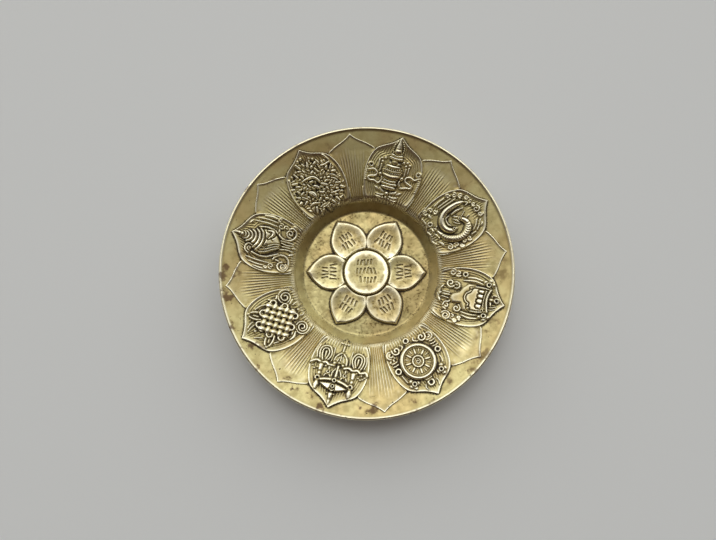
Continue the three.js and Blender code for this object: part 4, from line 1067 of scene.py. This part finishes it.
def height_map():
    """How far the relief stands above the smooth inside of the dish, in mm."""
    count = int(2 * MAP_HALF / MAP_CELL)
    heights = np.zeros((count, count))
    for piece in pieces:
        points = points_of(piece)
        above = points[:, 2] - inside_z(np.hypot(points[:, 0], points[:, 1]))
        cell = ((points[:, :2] + MAP_HALF) / MAP_CELL).astype(int)
        np.maximum.at(heights, (cell[:, 0], cell[:, 1]), above)
    return heights


def looked_up(grid, points):
    """Values of a map at the points, mixed from the four nearest cells."""
    place = np.clip((points[:, :2] + MAP_HALF) / MAP_CELL - 0.5, 0, len(grid) - 1.001)
    cell = place.astype(int)
    across, along = (place - cell).T
    i, j = cell.T
    near = grid[i, j] * (1 - along) + grid[i, j + 1] * along
    far = grid[i + 1, j] * (1 - along) + grid[i + 1, j + 1] * along
    return near * (1 - across) + far * across


def age(pieces):
    """Stores on each point how deep it lies among its neighbours, and how far it stands out."""
    heights = height_map()
    fine, broad = blurred(heights, 0.55), blurred(heights, 2.2)
    for piece in pieces:
        points = points_of(piece)
        radius = np.hypot(points[:, 0], points[:, 1])
        above = points[:, 2] - inside_z(radius)
        below = np.where(above < -0.7, 1.0, 0.0)
        small = looked_up(fine, points) - above
        large = looked_up(broad, points) - above
        # Dark patina with painted shade in the hollows, and wear with a painted highlight on what stands out
        patina_and_shade = np.clip(small / 0.45, 0, 1) * 0.7 + np.clip(large / 1.3, 0, 1) * 0.5
        wear_and_highlight = np.clip(-small / 0.22, 0, 1) * 0.8 + np.clip(-large / 0.9, 0, 1) * 0.5
        # A dark ring of patina and painted shade in the corner round the floor of the well, and a bright ring of wear
        # and painted highlight on the shoulder above the cove
        patina_and_shade += 0.5 * np.exp(-((radius - WELL_RADIUS - 0.2) / 0.5) ** 2)
        wear_and_highlight += 0.5 * np.exp(-((radius - 36.6) / 0.8) ** 2)
        wear_and_highlight *= 0.65 if piece in (boss, *flower_petals) else 1
        # The rim's crest gets wear and a painted highlight, and little patina
        at_rim = radius > RIM_RADIUS - 1.6
        patina_and_shade = np.where(at_rim | (below > 0), 0.15, np.clip(patina_and_shade, 0, 1))
        wear_and_highlight = np.where(at_rim, 0.6, np.where(below > 0, 0.1, np.clip(wear_and_highlight, 0, 1)))
        patina_and_shade *= 0.3 if piece == lower_petals else 0.5 if piece in (boss, *flower_petals) else 1
        for name, values in (("patina_and_shade", patina_and_shade), ("wear_and_highlight", wear_and_highlight), ("underside", below)):
            field = piece.data.attributes.new(name, "FLOAT", "POINT")
            field.data.foreach_set("value", values.astype(np.float32))


age(pieces)
for piece in pieces:
    if not piece.data.materials:
        piece.data.materials.append(brass)
    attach(piece, "root")
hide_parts("relief_dish")

# Floor, light and camera

floor_mesh = bpy.data.meshes.new("floor")
floor_mesh.from_pydata([(-3, -3, 0), (3, -3, 0), (3, 3, 0), (-3, 3, 0)], [], [(0, 1, 2, 3)])
floor = bpy.data.objects.new("floor", floor_mesh)
bpy.context.scene.collection.objects.link(floor)
floor.location.z = -0.0002
paper = bpy.data.materials.new("pale_paper")
paper.use_nodes = True
paper.node_tree.nodes["Principled BSDF"].inputs["Base Color"].default_value = linear("#dfe1e3")
paper.node_tree.nodes["Principled BSDF"].inputs["Roughness"].default_value = 0.9
floor_mesh.materials.append(paper)

world = bpy.data.worlds.new("studio")
world.use_nodes = True
sky = world.node_tree
background = sky.nodes["Background"]
side = add(sky, "ShaderNodeSeparateXYZ", None, {0: add(sky, "ShaderNodeTexCoord").outputs["Generated"]}).outputs
# Warm and dark in front, and pale behind
shade = colour_mix(sky, ranged(sky, side["Y"], -0.27, 0.62), linear("#2f1b0a"), linear("#fbfcf8"))
sky.links.new(shade, background.inputs["Color"])
background.inputs["Strength"].default_value = 1.4
bpy.context.scene.world = world


def softbox(name, place, size, power, colour):
    light = bpy.data.lights.new(name, "AREA")
    light.shape = "DISK"
    light.size = size
    light.energy = power
    light.color = linear(colour)[:3]
    lamp = bpy.data.objects.new(name, light)
    bpy.context.scene.collection.objects.link(lamp)
    lamp.location = place
    lamp.rotation_euler = (-Vector(place)).to_track_quat("-Z", "Y").to_euler()
    return lamp


softbox("window", (-0.07, 0.31, 1.05), 0.4, 1.35, "#fffdf6")

# The camera looks almost straight down on the dish. These come from the photograph's perspective.
TILT_X = math.radians(-8.134)
TILT_Y = math.radians(-0.395)
SHIFT = (4.10, 0.81)
DISTANCE = 286.62
FOCAL_PIXELS = 600
FRAME_WIDTH = 716


def build_camera():
    data = bpy.data.cameras.new("camera")
    data.sensor_width = 36
    data.lens = data.sensor_width * FOCAL_PIXELS / FRAME_WIDTH
    data.clip_start = 0.01
    camera = bpy.data.objects.new("camera", data)
    bpy.context.scene.collection.objects.link(camera)
    turn = Matrix.Rotation(TILT_X, 3, "X") @ Matrix.Rotation(TILT_Y, 3, "Y")
    place = turn.transposed() @ Vector((-SHIFT[0], -SHIFT[1], DISTANCE))
    camera.matrix_world = Matrix.Translation((place + Vector((0, 0, HEIGHT))) * MM) @ turn.transposed().to_4x4()
    bpy.context.scene.camera = camera


build_camera()
bpy.context.scene.view_settings.view_transform = "Standard"
